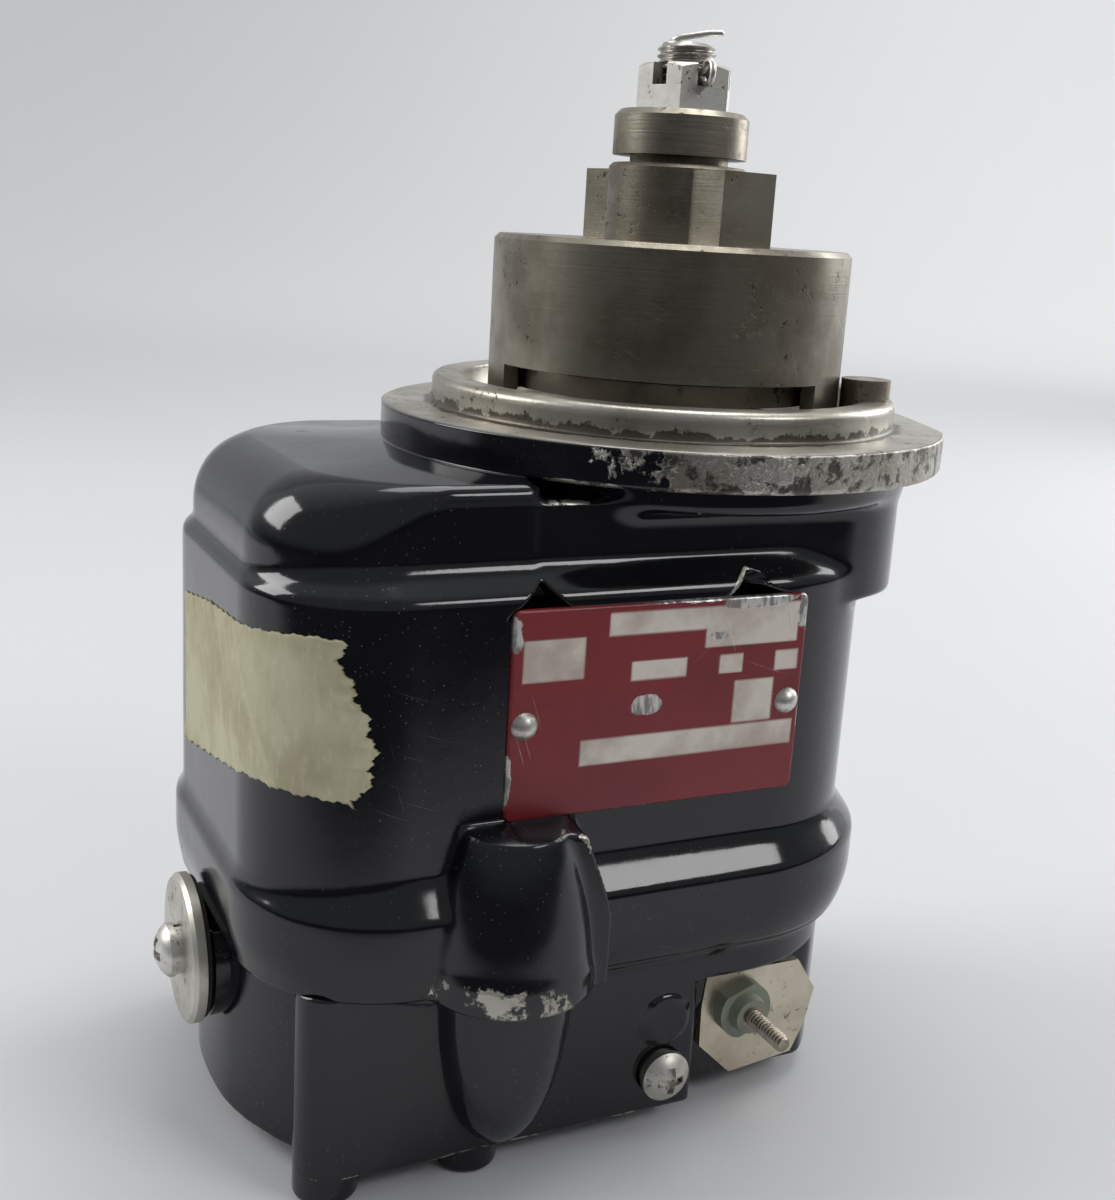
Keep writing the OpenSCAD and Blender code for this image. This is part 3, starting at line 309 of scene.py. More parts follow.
def grid_faces(rows, columns, wrap_rows, wrap_columns):
    """Quads of a grid of points, joined round on itself along either side."""
    down = np.arange(rows if wrap_rows else rows - 1)[:, None]
    along = np.arange(columns if wrap_columns else columns - 1)[None, :]
    below = (down + 1) % rows
    beside = (along + 1) % columns
    quads = [down * columns + along, down * columns + beside,
             below * columns + beside, below * columns + along]
    return np.stack([np.broadcast_to(q, (len(down), along.shape[1])) for q in quads], -1).reshape(-1, 4)


def weld(piece, sharp_deg=None):
    """Merges doubled points, drops the empty faces at the poles and turns all faces outwards."""
    work = bmesh.new()
    work.from_mesh(piece.data)
    bmesh.ops.remove_doubles(work, verts=work.verts, dist=2e-6)
    bmesh.ops.dissolve_degenerate(work, edges=work.edges, dist=1e-6)
    bmesh.ops.recalc_face_normals(work, faces=work.faces)
    work.to_mesh(piece.data)
    work.free()
    if sharp_deg is not None:
        piece.data.set_sharp_from_angle(angle=math.radians(sharp_deg))
    return piece


def turned(name, profile, columns=96, centre=(0, 0), ripple=None):
    """Turned piece: a profile of (radius, level) rows carried round an upright axis. The ripple, if any,
    is a function of turn and level that is added to the radius, as a thread is."""
    profile = np.asarray(profile, float)
    turn = np.arange(columns) / columns * 2 * math.pi
    radius = np.repeat(profile[:, :1], columns, 1)
    level = np.repeat(profile[:, 1:], columns, 1)
    if ripple is not None:
        radius = np.maximum(radius + ripple(turn[None, :], level), 0)
    points = np.stack([centre[0] + radius * np.cos(turn), centre[1] + radius * np.sin(turn), level], -1)
    return weld(mesh_from(name, points, grid_faces(len(profile), columns, False, True)), 40)


def tube(name, path, radius, sides=14):
    """Round wire: a circle carried along a path, square to it, with rings that shrink to a point at the
    ends. The frame of each ring comes from one fixed side direction."""
    path = np.asarray(path, float)
    along = np.gradient(path, axis=0)
    along /= np.linalg.norm(along, axis=1)[:, None]
    side = np.cross(along, np.array([0.31, 0.17, 0.93]))
    side /= np.linalg.norm(side, axis=1)[:, None]
    other = np.cross(along, side)
    turn = np.arange(sides) / sides * 2 * math.pi
    size = np.full(len(path), radius)
    size[[0, -1]] = 0.01 * radius
    ring = side[:, None] * np.cos(turn)[None, :, None] + other[:, None] * np.sin(turn)[None, :, None]
    points = path[:, None] + ring * size[:, None, None]
    points = np.concatenate([points, path[-1:, None] + 0 * ring[-1:]])
    points = np.concatenate([path[:1, None] + 0 * ring[:1], points])
    return weld(mesh_from(name, points, grid_faces(len(points), sides, False, True)))


def curve_through(points, count):
    """Smooth path through hand-set points: a Catmull-Rom curve, sampled evenly in its parameter."""
    p = np.asarray(points, float)
    p = np.concatenate([2 * p[:1] - p[1:2], p, 2 * p[-1:] - p[-2:-1]])
    t = np.linspace(0, len(points) - 1 - 1e-9, count)
    i = t.astype(int)
    f = (t - i)[:, None]
    a, b, c, d = p[i], p[i + 1], p[i + 2], p[i + 3]
    square = 2 * a - 5 * b + 4 * c - d
    cube = 3 * b - a - 3 * c + d
    return 0.5 * (2 * b + (c - a) * f + square * f ** 2 + cube * f ** 3)


# Shader nodes


def put(tree, kind, inputs=None, **settings):
    """New node with its settings, each input set to a value or linked to a socket."""
    node = tree.nodes.new(kind)
    for key, value in settings.items():
        setattr(node, key, value)
    for key, value in (inputs or {}).items():
        if isinstance(value, bpy.types.NodeSocket):
            tree.links.new(value, node.inputs[key])
        else:
            node.inputs[key].default_value = value
    return node


def math_node(tree, operation, a, b=None, clamp=False):
    node = put(tree, "ShaderNodeMath", {0: a}, operation=operation, use_clamp=clamp)
    if b is not None:
        if isinstance(b, bpy.types.NodeSocket):
            tree.links.new(b, node.inputs[1])
        else:
            node.inputs[1].default_value = b
    return node.outputs[0]


def times(tree, a, b):
    return math_node(tree, "MULTIPLY", a, b)


def larger(tree, a, b):
    return math_node(tree, "MAXIMUM", a, b)


def distance_along(tree, vector, direction):
    """How far a vector reaches along a direction."""
    node = put(tree, "ShaderNodeVectorMath", {0: vector, 1: direction}, operation="DOT_PRODUCT")
    return node.outputs["Value"]


def stretched(tree, vector, factors):
    return put(tree, "ShaderNodeVectorMath", {0: vector, 1: factors}, operation="MULTIPLY").outputs[0]


def span(tree, value, low, high, to_low=0.0, to_high=1.0):
    """Smooth step of a value from one range to another."""
    node = put(tree, "ShaderNodeMapRange", {"Value": value, "From Min": low, "From Max": high,
                                            "To Min": to_low, "To Max": to_high},
               interpolation_type="SMOOTHSTEP")
    return node.outputs["Result"]


def noise(tree, vector, scale, detail=4.0, rough=0.55, stretch=None):
    if stretch is not None:
        vector = stretched(tree, vector, stretch)
    node = put(tree, "ShaderNodeTexNoise", {"Vector": vector, "Scale": scale, "Detail": detail,
                                            "Roughness": rough})
    return node.outputs["Fac"]


def mix_colour(tree, factor, a, b):
    node = put(tree, "ShaderNodeMix", {0: factor, 6: a, 7: b}, data_type="RGBA")
    return node.outputs[2]


def mix_value(tree, factor, a, b):
    return put(tree, "ShaderNodeMix", {0: factor, 2: a, 3: b}, data_type="FLOAT").outputs[0]


def new_group(name, inputs, outputs):
    """Empty shader node group with named sockets: (name, kind, default) in and (name, kind) out."""
    tree = bpy.data.node_groups.new(name, "ShaderNodeTree")
    for label, kind, default in inputs:
        socket = tree.interface.new_socket(label, in_out="INPUT", socket_type=kind)
        if default is not None:
            socket.default_value = default
    for label, kind in outputs:
        tree.interface.new_socket(label, in_out="OUTPUT", socket_type=kind)
    return tree, tree.nodes.new("NodeGroupInput"), tree.nodes.new("NodeGroupOutput")


def use(tree, group, **inputs):
    """Places a group in a material. Input names are given with _ for spaces."""
    node = tree.nodes.new("ShaderNodeGroup")
    node.node_tree = group
    for key, value in inputs.items():
        socket = node.inputs[key.replace("_", " ")]
        if isinstance(value, bpy.types.NodeSocket):
            tree.links.new(value, socket)
        else:
            socket.default_value = value
    return node


FLOAT = "NodeSocketFloat"
VECTOR = "NodeSocketVector"


def dust_group():
    """Dust and handling marks: sparse fine specks and soft cloudy smudges."""
    tree, inside, outside = new_group("dust_specks", [("Vector", VECTOR, None), ("Amount", FLOAT, 0.5)],
                                      [("Specks", FLOAT), ("Smudge", FLOAT)])
    vector = inside.outputs["Vector"]
    cells = put(tree, "ShaderNodeTexVoronoi", {"Vector": vector, "Scale": 1300.0})
    near = span(tree, cells.outputs["Distance"], 0.2, 0.06)
    lottery = put(tree, "ShaderNodeSeparateColor", {0: cells.outputs["Color"]}).outputs[0]
    chosen = span(tree, lottery, 0.35, 0.9)
    patchy = span(tree, noise(tree, vector, 45.0, 3.0), 0.38, 0.62)
    specks = times(tree, times(tree, near, chosen), patchy)
    specks = times(tree, specks, inside.outputs["Amount"])
    smudge = span(tree, noise(tree, vector, 38.0, 6.0, 0.65), 0.35, 0.75)
    tree.links.new(specks, outside.inputs["Specks"])
    tree.links.new(smudge, outside.inputs["Smudge"])
    return tree


def scratch_group():
    """Fine scratches: long thin cells laid over the upright faces at three slants, kept here and there."""
    tree, inside, outside = new_group("fine_scratches", [("Vector", VECTOR, None), ("Amount", FLOAT, 0.5)],
                                      [("Mask", FLOAT)])
    parts = put(tree, "ShaderNodeSeparateXYZ", {0: inside.outputs["Vector"]})
    across = math_node(tree, "SUBTRACT", parts.outputs[0], times(tree, parts.outputs[1], 0.9))
    flat = put(tree, "ShaderNodeCombineXYZ", {0: across, 1: parts.outputs[2]}).outputs[0]
    total = None
    for turn, scale in ((0.35, 900.0), (-0.7, 760.0), (1.25, 1150.0)):
        slant = put(tree, "ShaderNodeMapping", {"Vector": flat, "Rotation": (0.0, 0.0, turn)}).outputs[0]
        slant = stretched(tree, slant, (0.022, 1.0, 0.0))
        cells = put(tree, "ShaderNodeTexVoronoi", {"Vector": slant, "Scale": scale}, voronoi_dimensions="2D")
        line = span(tree, cells.outputs["Distance"], 0.1, 0.03)
        lottery = put(tree, "ShaderNodeSeparateColor", {0: cells.outputs["Color"]}).outputs[0]
        mark = times(tree, line, span(tree, lottery, 0.7, 0.95))
        total = mark if total is None else larger(tree, total, mark)
    patchy = span(tree, noise(tree, inside.outputs["Vector"], 42.0, 3.0), 0.48, 0.66)
    total = times(tree, total, patchy)
    tree.links.new(times(tree, total, inside.outputs["Amount"]), outside.inputs["Mask"])
    return tree


def wear_group():
    """Edge wear: an edge mask broken up by coarse and fine noise, so that paint is lost in ragged chips."""
    tree, inside, outside = new_group("ragged_wear", [("Vector", VECTOR, None), ("Edge", FLOAT, 0.0),
                                                      ("Amount", FLOAT, 0.5)], [("Mask", FLOAT)])
    coarse = noise(tree, inside.outputs["Vector"], 85.0, 4.0, 0.6)
    fine = noise(tree, inside.outputs["Vector"], 520.0, 5.0, 0.7)
    broken = mix_value(tree, 0.3, coarse, fine)
    hold = times(tree, inside.outputs["Edge"], inside.outputs["Amount"])
    need = math_node(tree, "SUBTRACT", 1.0, hold)
    gap = math_node(tree, "SUBTRACT", broken, need)
    tree.links.new(span(tree, gap, -0.01, 0.03), outside.inputs["Mask"])
    return tree


def blemish_group():
    """Tarnish on bare metal: brown-black pits and stains with a soft tone drift."""
    tree, inside, outside = new_group("metal_tarnish", [("Vector", VECTOR, None), ("Scale", FLOAT, 1.0)],
                                      [("Pits", FLOAT), ("Drift", FLOAT), ("Grain", FLOAT)])
    scaled = put(tree, "ShaderNodeVectorMath", {0: inside.outputs["Vector"]}, operation="SCALE")
    tree.links.new(inside.outputs["Scale"], scaled.inputs["Scale"])
    vector = scaled.outputs[0]
    pits = times(tree, span(tree, noise(tree, vector, 620.0, 4.0, 0.7), 0.56, 0.66),
                 span(tree, noise(tree, vector, 110.0, 3.0), 0.46, 0.62))
    tree.links.new(pits, outside.inputs["Pits"])
    tree.links.new(noise(tree, vector, 55.0, 5.0, 0.6), outside.inputs["Drift"])
    tree.links.new(noise(tree, vector, 1500.0, 3.0, 0.6), outside.inputs["Grain"])
    return tree


DUST = dust_group()
SCRATCHES = scratch_group()
WEAR = wear_group()
TARNISH = blemish_group()


def new_material(name):
    material = bpy.data.materials.new(name)
    material.use_nodes = True
    tree = material.node_tree
    shader = tree.nodes["Principled BSDF"]
    vector = put(tree, "ShaderNodeTexCoord").outputs["Object"]
    return material, tree, shader, vector


def bump(tree, height, distance, strength=1.0):
    """Bump node for a height that runs from 0 to 1, over a distance in millimetres."""
    node = put(tree, "ShaderNodeBump", {"Height": height, "Distance": distance * MM, "Strength": strength})
    return node.outputs["Normal"]


def feed(tree, shader, **sockets):
    for key, value in sockets.items():
        socket = shader.inputs[key.replace("_", " ")]
        if isinstance(value, bpy.types.NodeSocket):
            tree.links.new(value, socket)
        else:
            socket.default_value = value


def attribute(tree, name):
    return put(tree, "ShaderNodeAttribute", attribute_name=name).outputs["Fac"]


def casting_enamel():
    """Blue-black gloss enamel on cast aluminium. Paint is chipped to bright metal on its edges, scuffed on
    the flange rim and absent on the machined faces, with dust, smudges and scratches."""
    material, tree, shader, vector = new_material("casting_enamel")
    dust = use(tree, DUST, Vector=vector, Amount=0.75)
    lines = use(tree, SCRATCHES, Vector=vector, Amount=0.6).outputs[0]
    tarnish = use(tree, TARNISH, Vector=vector, Scale=1.0)
    chips = use(tree, WEAR, Vector=vector, Edge=attribute(tree, "edge"), Amount=0.62).outputs[0]
    rim = use(tree, WEAR, Vector=vector, Edge=attribute(tree, "rim"), Amount=0.62).outputs[0]
    bare = larger(tree, larger(tree, chips, rim), attribute(tree, "machined"))
    paint = mix_colour(tree, dust.outputs["Smudge"], (0.0035, 0.0038, 0.0055, 1), (0.006, 0.0066, 0.0095, 1))
    paint = mix_colour(tree, times(tree, lines, 0.5), paint, (0.12, 0.125, 0.13, 1))
    specks = times(tree, dust.outputs["Specks"], 0.45)
    paint = mix_colour(tree, specks, paint, (0.3, 0.28, 0.25, 1))
    metal = mix_colour(tree, span(tree, tarnish.outputs["Drift"], 0.35, 0.65), (0.5, 0.48, 0.43, 1),
                       (0.32, 0.295, 0.245, 1))
    metal = mix_colour(tree, times(tree, tarnish.outputs["Pits"], 0.85), metal, (0.05, 0.042, 0.033, 1))
    # Darker brown ragged band on the bare metal along the inside corner at the pilot's foot.
    close = stretched(tree, vector, (3.5, 3.5, 3.5))
    pilot_corner_dark = use(tree, WEAR, Vector=close, Edge=attribute(tree, "pilot_corner_band"), Amount=0.7).outputs[0]
    hollows = times(tree, rim, span(tree, noise(tree, vector, 330.0, 5.0, 0.65), 0.5, 0.4))
    metal = mix_colour(tree, times(tree, hollows, 0.85), metal, (0.05, 0.046, 0.04, 1))
    metal = mix_colour(tree, times(tree, pilot_corner_dark, 0.8), metal, (0.04, 0.03, 0.018, 1))
    gloss = mix_value(tree, dust.outputs["Smudge"], 0.09, 0.2)
    dull = larger(tree, lines, dust.outputs["Specks"])
    gloss = mix_value(tree, dull, gloss, 0.55)
    worn_rough = mix_value(tree, tarnish.outputs["Pits"], 0.36, 0.75)
    lumps = noise(tree, vector, 70.0, 3.0, 0.5)
    peel = times(tree, noise(tree, vector, 900.0, 2.0, 0.5), 0.02)
    height = math_node(tree, "ADD", times(tree, lumps, 0.3), peel)
    height = math_node(tree, "SUBTRACT", height, times(tree, bare, 0.2))
    height = math_node(tree, "SUBTRACT", height, times(tree, lines, 0.08))
    grain = times(tree, bare, tarnish.outputs["Grain"])
    height = math_node(tree, "ADD", height, times(tree, grain, 0.12))
    battered = times(tree, rim, noise(tree, vector, 330.0, 5.0, 0.65))
    height = math_node(tree, "ADD", height, times(tree, battered, 1.7))
    feed(tree, shader, Base_Color=mix_colour(tree, bare, paint, metal), Metallic=times(tree, bare, 0.95),
         Roughness=mix_value(tree, bare, gloss, worn_rough), Normal=bump(tree, height, 0.35))
    return material


def worn_steel(name, light, dark, rough, pit=0.6, ring=0.0, scale=1.0):
    """Machined steel: two tones that drift, pits and stains, fine grain, and tool marks as rings along the
    axis where ring is above zero."""
    material, tree, shader, vector = new_material(name)
    tarnish = use(tree, TARNISH, Vector=vector, Scale=scale)
    lines = use(tree, SCRATCHES, Vector=vector, Amount=0.7).outputs[0]
    colour = mix_colour(tree, span(tree, tarnish.outputs["Drift"], 0.38, 0.62), (*light, 1), (*dark, 1))
    stain = times(tree, tarnish.outputs["Pits"], pit)
    colour = mix_colour(tree, stain, colour, (0.03, 0.022, 0.015, 1))
    colour = mix_colour(tree, times(tree, lines, 0.5), colour, (0.6, 0.58, 0.54, 1))
    roughness = mix_value(tree, span(tree, tarnish.outputs["Drift"], 0.3, 0.7), rough, min(rough + 0.14, 1.0))
    roughness = mix_value(tree, tarnish.outputs["Pits"], roughness, 0.7)
    height = times(tree, tarnish.outputs["Grain"], 0.25)
    height = math_node(tree, "SUBTRACT", height, times(tree, tarnish.outputs["Pits"], 0.5))
    if ring > 0:
        marks = noise(tree, vector, 2600.0, 2.0, 0.6, stretch=(0.02, 0.02, 1.0))
        height = math_node(tree, "ADD", height, times(tree, marks, ring))
    feed(tree, shader, Base_Color=colour, Metallic=1.0, Roughness=roughness, Normal=bump(tree, height, 0.06))
    return material


def plain_moulding(name, colour, rough, grain=900.0):
    """Moulded insulation: one tone with a slow drift, fine grain and dust."""
    material, tree, shader, vector = new_material(name)
    dust = use(tree, DUST, Vector=vector, Amount=0.6)
    shade = tuple(0.72 * c for c in colour)
    tone = mix_colour(tree, dust.outputs["Smudge"], (*colour, 1), (*shade, 1))
    specks = times(tree, dust.outputs["Specks"], 0.5)
    tone = mix_colour(tree, specks, tone, (0.4, 0.39, 0.36, 1))
    roughness = mix_value(tree, dust.outputs["Smudge"], rough, min(rough + 0.15, 1.0))
    feed(tree, shader, Base_Color=tone, Roughness=roughness,
         Normal=bump(tree, noise(tree, vector, grain, 3.0), 0.03))
    return material


def printed_plate():
    """Crimson printed aluminium plate: cream fields, scraped bare patches and scratches, from the plate's own
    attributes."""
    material, tree, shader, vector = new_material("printed_plate")
    dust = use(tree, DUST, Vector=vector, Amount=0.6)
    lines = use(tree, SCRATCHES, Vector=vector, Amount=1.0).outputs[0]
    tarnish = use(tree, TARNISH, Vector=vector, Scale=1.3)
    red = mix_colour(tree, dust.outputs["Smudge"], (0.19, 0.016, 0.021, 1), (0.14, 0.012, 0.017, 1))
    cream = mix_colour(tree, span(tree, tarnish.outputs["Drift"], 0.4, 0.62), (0.62, 0.57, 0.5, 1),
                       (0.42, 0.35, 0.3, 1))
    tone = mix_colour(tree, attribute(tree, "field"), red, cream)
    bare = use(tree, WEAR, Vector=vector, Edge=attribute(tree, "scrape"), Amount=0.64).outputs[0]
    bare = larger(tree, bare, times(tree, lines, 0.6))
    streak = noise(tree, vector, 900.0, 3.0, 0.6, stretch=(1.0, 1.0, 0.3))
    metal = mix_colour(tree, span(tree, streak, 0.4, 0.6), (0.74, 0.72, 0.69, 1), (0.3, 0.28, 0.27, 1))
    tone = mix_colour(tree, bare, tone, metal)
    feed(tree, shader, Base_Color=tone, Metallic=times(tree, bare, 0.9),
         Roughness=mix_value(tree, bare, 0.34, 0.42),
         Normal=bump(tree, math_node(tree, "SUBTRACT", tarnish.outputs["Grain"], bare), 0.05))
    return material


def creped_tape():
    """Masking tape: khaki creped paper, darker where it is thin or torn, with a brown stain."""
    material, tree, shader, vector = new_material("creped_tape")
    crepe = noise(tree, vector, 900.0, 3.0, 0.6, stretch=(1.0, 1.0, 0.35))
    blotch = noise(tree, vector, 70.0, 5.0, 0.6)
    tone = mix_colour(tree, span(tree, blotch, 0.36, 0.66), (0.48, 0.45, 0.31, 1), (0.36, 0.33, 0.21, 1))
    tone = mix_colour(tree, span(tree, crepe, 0.5, 0.75, 0.0, 0.35), tone, (0.62, 0.58, 0.42, 1))
    torn = use(tree, WEAR, Vector=vector, Edge=attribute(tree, "torn"), Amount=0.6).outputs[0]
    tone = mix_colour(tree, times(tree, torn, 0.75), tone, (0.16, 0.12, 0.05, 1))
    feed(tree, shader, Base_Color=tone, Roughness=0.85, Normal=bump(tree, crepe, 0.06))
    return material


FINISHES = {
    "black_paint": casting_enamel(),
    "plate_red": printed_plate(),
    "tape": creped_tape(),
    "screw_steel": worn_steel("plated_steel", (0.78, 0.77, 0.73), (0.52, 0.5, 0.46), 0.32, 0.8, scale=1.6),
    "terminal_plate": worn_steel("champagne_plate", (0.66, 0.6, 0.48), (0.5, 0.45, 0.34), 0.3, 0.5),
    "insulator": plain_moulding("grey_insulator", (0.23, 0.25, 0.19), 0.5),
    "stud_steel": worn_steel("stud_steel", (0.42, 0.37, 0.3), (0.24, 0.2, 0.16), 0.36, 0.8, scale=1.8),
    "cover_nickel": worn_steel("satin_nickel", (0.6, 0.58, 0.52), (0.46, 0.44, 0.38), 0.34, 0.5),
    "gasket": plain_moulding("black_gasket", (0.02, 0.019, 0.018), 0.7),
    "block_plastic": plain_moulding("black_moulding", (0.014, 0.013, 0.012), 0.32),
    "brass": worn_steel("turned_brass", (0.6, 0.42, 0.17), (0.42, 0.28, 0.1), 0.3, 0.5),
    "shaft_steel": worn_steel("ground_steel", (0.5, 0.48, 0.45), (0.34, 0.32, 0.29), 0.28, 0.6, ring=0.3),
    "magnet": worn_steel("magnet_alloy", (0.16, 0.16, 0.17), (0.09, 0.09, 0.1), 0.42),
    "laminations": worn_steel("laminated_iron", (0.2, 0.2, 0.21), (0.12, 0.12, 0.12), 0.5, ring=0.6),
    "coil_wrap": plain_moulding("varnished_wrap", (0.16, 0.035, 0.018), 0.3),
    "cap_alloy": worn_steel("cast_alloy", (0.5, 0.49, 0.47), (0.38, 0.37, 0.35), 0.5, scale=0.7),
    "breaker_fibre": plain_moulding("brown_fibre", (0.2, 0.07, 0.026), 0.6),
    "gear_nylon": plain_moulding("cream_nylon", (0.55, 0.46, 0.27), 0.45),
    "carbon": plain_moulding("pressed_carbon", (0.03, 0.03, 0.032), 0.6),
    "coupling_steel": worn_steel("oiled_steel", (0.34, 0.31, 0.25), (0.17, 0.15, 0.115), 0.3, 0.8, ring=0.35),
    "spring_steel": worn_steel("blued_steel", (0.09, 0.09, 0.1), (0.05, 0.05, 0.055), 0.35),
    "weight_steel": worn_steel("flyweight_steel", (0.27, 0.24, 0.19), (0.14, 0.12, 0.09), 0.34, 0.8),
}
SLOT_OF = {row["node"]: row["material_slot"] for row in frame["record"]["subparts"]}


def dress(piece, slot, body, *nodes):
    """Finishes a new piece: the material of its record slot, the body it rides on and the nodes it stands
    for.
    """
    piece.data.materials.clear()
    piece.data.materials.append(FINISHES[slot])
    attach(piece, body)
    if nodes:
        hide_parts(*nodes)
    return piece


# Castings


def frame_skin():
    """Skin of the frame casting. Its grid is one closed sleeve: rows of level rays up the outside, lathe rows
    over the flange face, pilot and bores, rows down the inside, and back across the seam."""
    turn = column_turns(SKIN_COLUMNS)
    outside = levels((SEAM_Z, -76, 10), (-76, -68.2, 7), (-68.2, -66.6, 8), (-66.6, -63.4, 5),
                     (-63.4, -61.4, 8), (-61.4, -57, 5), (-57, -54, 9), (-54, -27, 12), (-27, -25, 4),
                     (-25, -16.6, 26), (-16.6, -12, 7), (-12, -9.6, 6), (-9.6, -8.2, 8), (-8.2, -6.6, 9),
                     (-6.6, -5.8, 9), (-5.8, -5.0, 5), (-5.0, -1.2, 6), (-1.2, -0.05, 5))
    turns, heights = np.meshgrid(turn, outside)
    far = reach(frame_field, turns, heights)
    points = np.stack([SPINE_X + far * np.cos(turns), far * np.sin(turns), heights], -1)
    edge = sharpness(frame_field, points)
    on_rim = (np.hypot(points[..., 0], points[..., 1]) > FLANGE_R - 3) * (heights > -FLANGE_T - 0.3)
    rim = on_rim * (0.5 + 0.75 * ease((points[..., 0] + 36) / 26))
    on_bullet = np.hypot(points[..., 0] - BULLET_X, points[..., 1] - BULLET_Y) < 14.2
    seam_ring = ease((SEAM_Z + 8 - heights) / 4) * on_bullet
    edge = np.maximum(edge, 0.76 * seam_ring)

    around = np.arctan2(points[-1, :, 1], points[-1, :, 0])
    lathe = np.array([(46.4, 0.0), (45.6, 0.02), (42, 0.02), (PILOT_R + 0.7, 0.02), (PILOT_R + 0.2, 0.12),
                      (PILOT_R, 0.5), (PILOT_R, 1.6), (PILOT_R, 2.7), (PILOT_R, 3.7), (PILOT_R - 0.2, 4.2),
                      (PILOT_R - 0.7, 4.62), (PILOT_R - 1.2, PILOT_H), (PILOT_IN_R + 0.6, PILOT_H),
                      (PILOT_IN_R + 0.1, 4.6), (PILOT_IN_R, 4.2), (PILOT_IN_R, 0.4), (33.3, 0), (30, 0),
                      (16, 0), (15, -0.4), (15, -8), (10.6, -8), (10.6, -10), (20, -10), (20, -28)])
    flat = FLANGE_FLAT / np.maximum(np.cos(around - math.radians(FLANGE_FLAT_DEG)), 0.5) - 0.6
    radius = np.minimum(lathe[:, :1], flat[None, :])
    face = np.stack([radius * np.cos(around), radius * np.sin(around),
                     np.repeat(lathe[:, 1:], SKIN_COLUMNS, 1)], -1)

    inside = levels((-28.0, -79.0, 6), (-79.0, -80.01, 1))[1:]
    turns_in, heights_in = np.meshgrid(turn, np.append(inside, SEAM_Z))
    near = reach(lambda x, y, z: inner_plan(x, y, SLAB, WALL + 1), turns_in, heights_in)
    hollow = np.stack([SPINE_X + near * np.cos(turns_in), near * np.sin(turns_in), heights_in], -1)

    loop = np.concatenate([points, face, hollow])
    blank = np.zeros(face.shape[:2])
    bare = np.concatenate([np.zeros(far.shape), blank + 1, np.zeros(near.shape)])
    edges = np.concatenate([edge, blank, np.zeros(near.shape)])
    rims = np.concatenate([rim, blank, np.zeros(near.shape)])
    # Band mask along the inside corner where the pilot meets the flange face: one at the corner, fading out
    # over 5 mm. The bare metal is made darker brown there.
    from_corner = np.hypot(np.hypot(face[..., 0], face[..., 1]) - PILOT_R, face[..., 2])
    pilot_corner_band = np.concatenate([np.zeros(far.shape), np.clip(1 - from_corner / 5, 0, 1), np.zeros(near.shape)])
    piece = mesh_from("frame_casting", loop, grid_faces(len(loop), SKIN_COLUMNS, True, True),
                      {"edge": edges, "rim": rims, "machined": bare, "pilot_corner_band": pilot_corner_band})
    return dress(piece, "black_paint", "casing", "frame_housing")


def foot(centre, radius, top):
    """Cast foot: a round pad with a rolled rim, as a profile of (radius, level) rows."""
    roll = np.linspace(0, math.pi / 2, 6)
    rim = [(radius - 1.1 + 1.1 * math.sin(a), REST_Z + 1.1 * (1 - math.cos(a))) for a in roll]
    return turned("foot", [(0, REST_Z), *rim, (radius, top), (0, top)], 40, centre)


def side_boss():
    """Boss under the side cover: a round profile carried about a level axis, cut flat at the seam."""
    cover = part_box("side_cover_gasket")
    middle = (cover[0] + cover[1]) / 2 / MM
    face = cover[1].x / MM
    profile = [(0, face), (10.6, face), (11.2, face + 0.6), (11.2, face + 8), (0, face + 8)]
    boss = turned("side_boss", profile, 72)
    points = np.empty(3 * len(boss.data.vertices), np.float32)
    boss.data.vertices.foreach_get("co", points)
    points = points.reshape(-1, 3) / MM
    placed = np.stack([points[:, 2], points[:, 0], np.minimum(points[:, 1] + middle.z, SEAM_Z)], -1) * MM
    boss.data.vertices.foreach_set("co", placed.astype(np.float32).ravel())
    return boss


def housing_skin():
    """Skin of the distributor housing: rows of level rays up the outside, and down the inside again, with the
    side boss and round feet joined on."""
    turn = column_turns(SKIN_COLUMNS)
    outside = levels((BASE_Z + 0.01, BASE_Z + 1.2, 7), (BASE_Z + 1.2, -101, 8), (-101, -98.2, 6),
                     (-98.2, -97, 6), (-97, -90.2, 8), (-90.2, -86.8, 12), (-86.8, -83, 8), (-83, SEAM_Z, 14))
    outside = np.append(outside, SEAM_Z)
    turns, heights = np.meshgrid(turn, outside)
    far = reach(housing_field, turns, heights)
    points = np.stack([SPINE_X + far * np.cos(turns), far * np.sin(turns), heights], -1)
    edge = sharpness(housing_field, points)
    off_mark = np.hypot(points[..., 0] - MARK[0], heights - MARK[1]) > MARK[2] + 1.8
    edge = edge * off_mark * (points[..., 0] < -6) * (heights < SEAM_Z - 3)
    inside = np.linspace(SEAM_Z, BASE_Z, 5)
    turns_in, heights_in = np.meshgrid(turn, inside)
    near = reach(lambda x, y, z: inner_plan(x, y, HOUSING, WALL), turns_in, heights_in)
    near = np.minimum(near, far[[-1, -1, -1, 0, 0]] - 2.0)
    hollow = np.stack([SPINE_X + near * np.cos(turns_in), near * np.sin(turns_in), heights_in], -1)
    loop = np.concatenate([points, hollow])
    values = {"edge": np.concatenate([edge, np.zeros(near.shape)])}
    piece = mesh_from("distributor_casting", loop, grid_faces(len(loop), SKIN_COLUMNS, True, True), values)
    extras = [foot((POST[0], side * POST[1]), POST[2], BASE_Z + 8) for side in (-1, 1)]
    extras += [foot(centre, 5.0, BASE_Z + 4) for centre in ((20, 22), (-43, -30.5), (-43, 30.5))]
    extras.append(side_boss())
    work = bmesh.new()
    work.from_mesh(piece.data)
    for extra in extras:
        work.from_mesh(extra.data)
        bpy.data.objects.remove(extra)
    work.to_mesh(piece.data)
    work.free()
    return dress(piece, "black_paint", "casing", "distributor_housing")


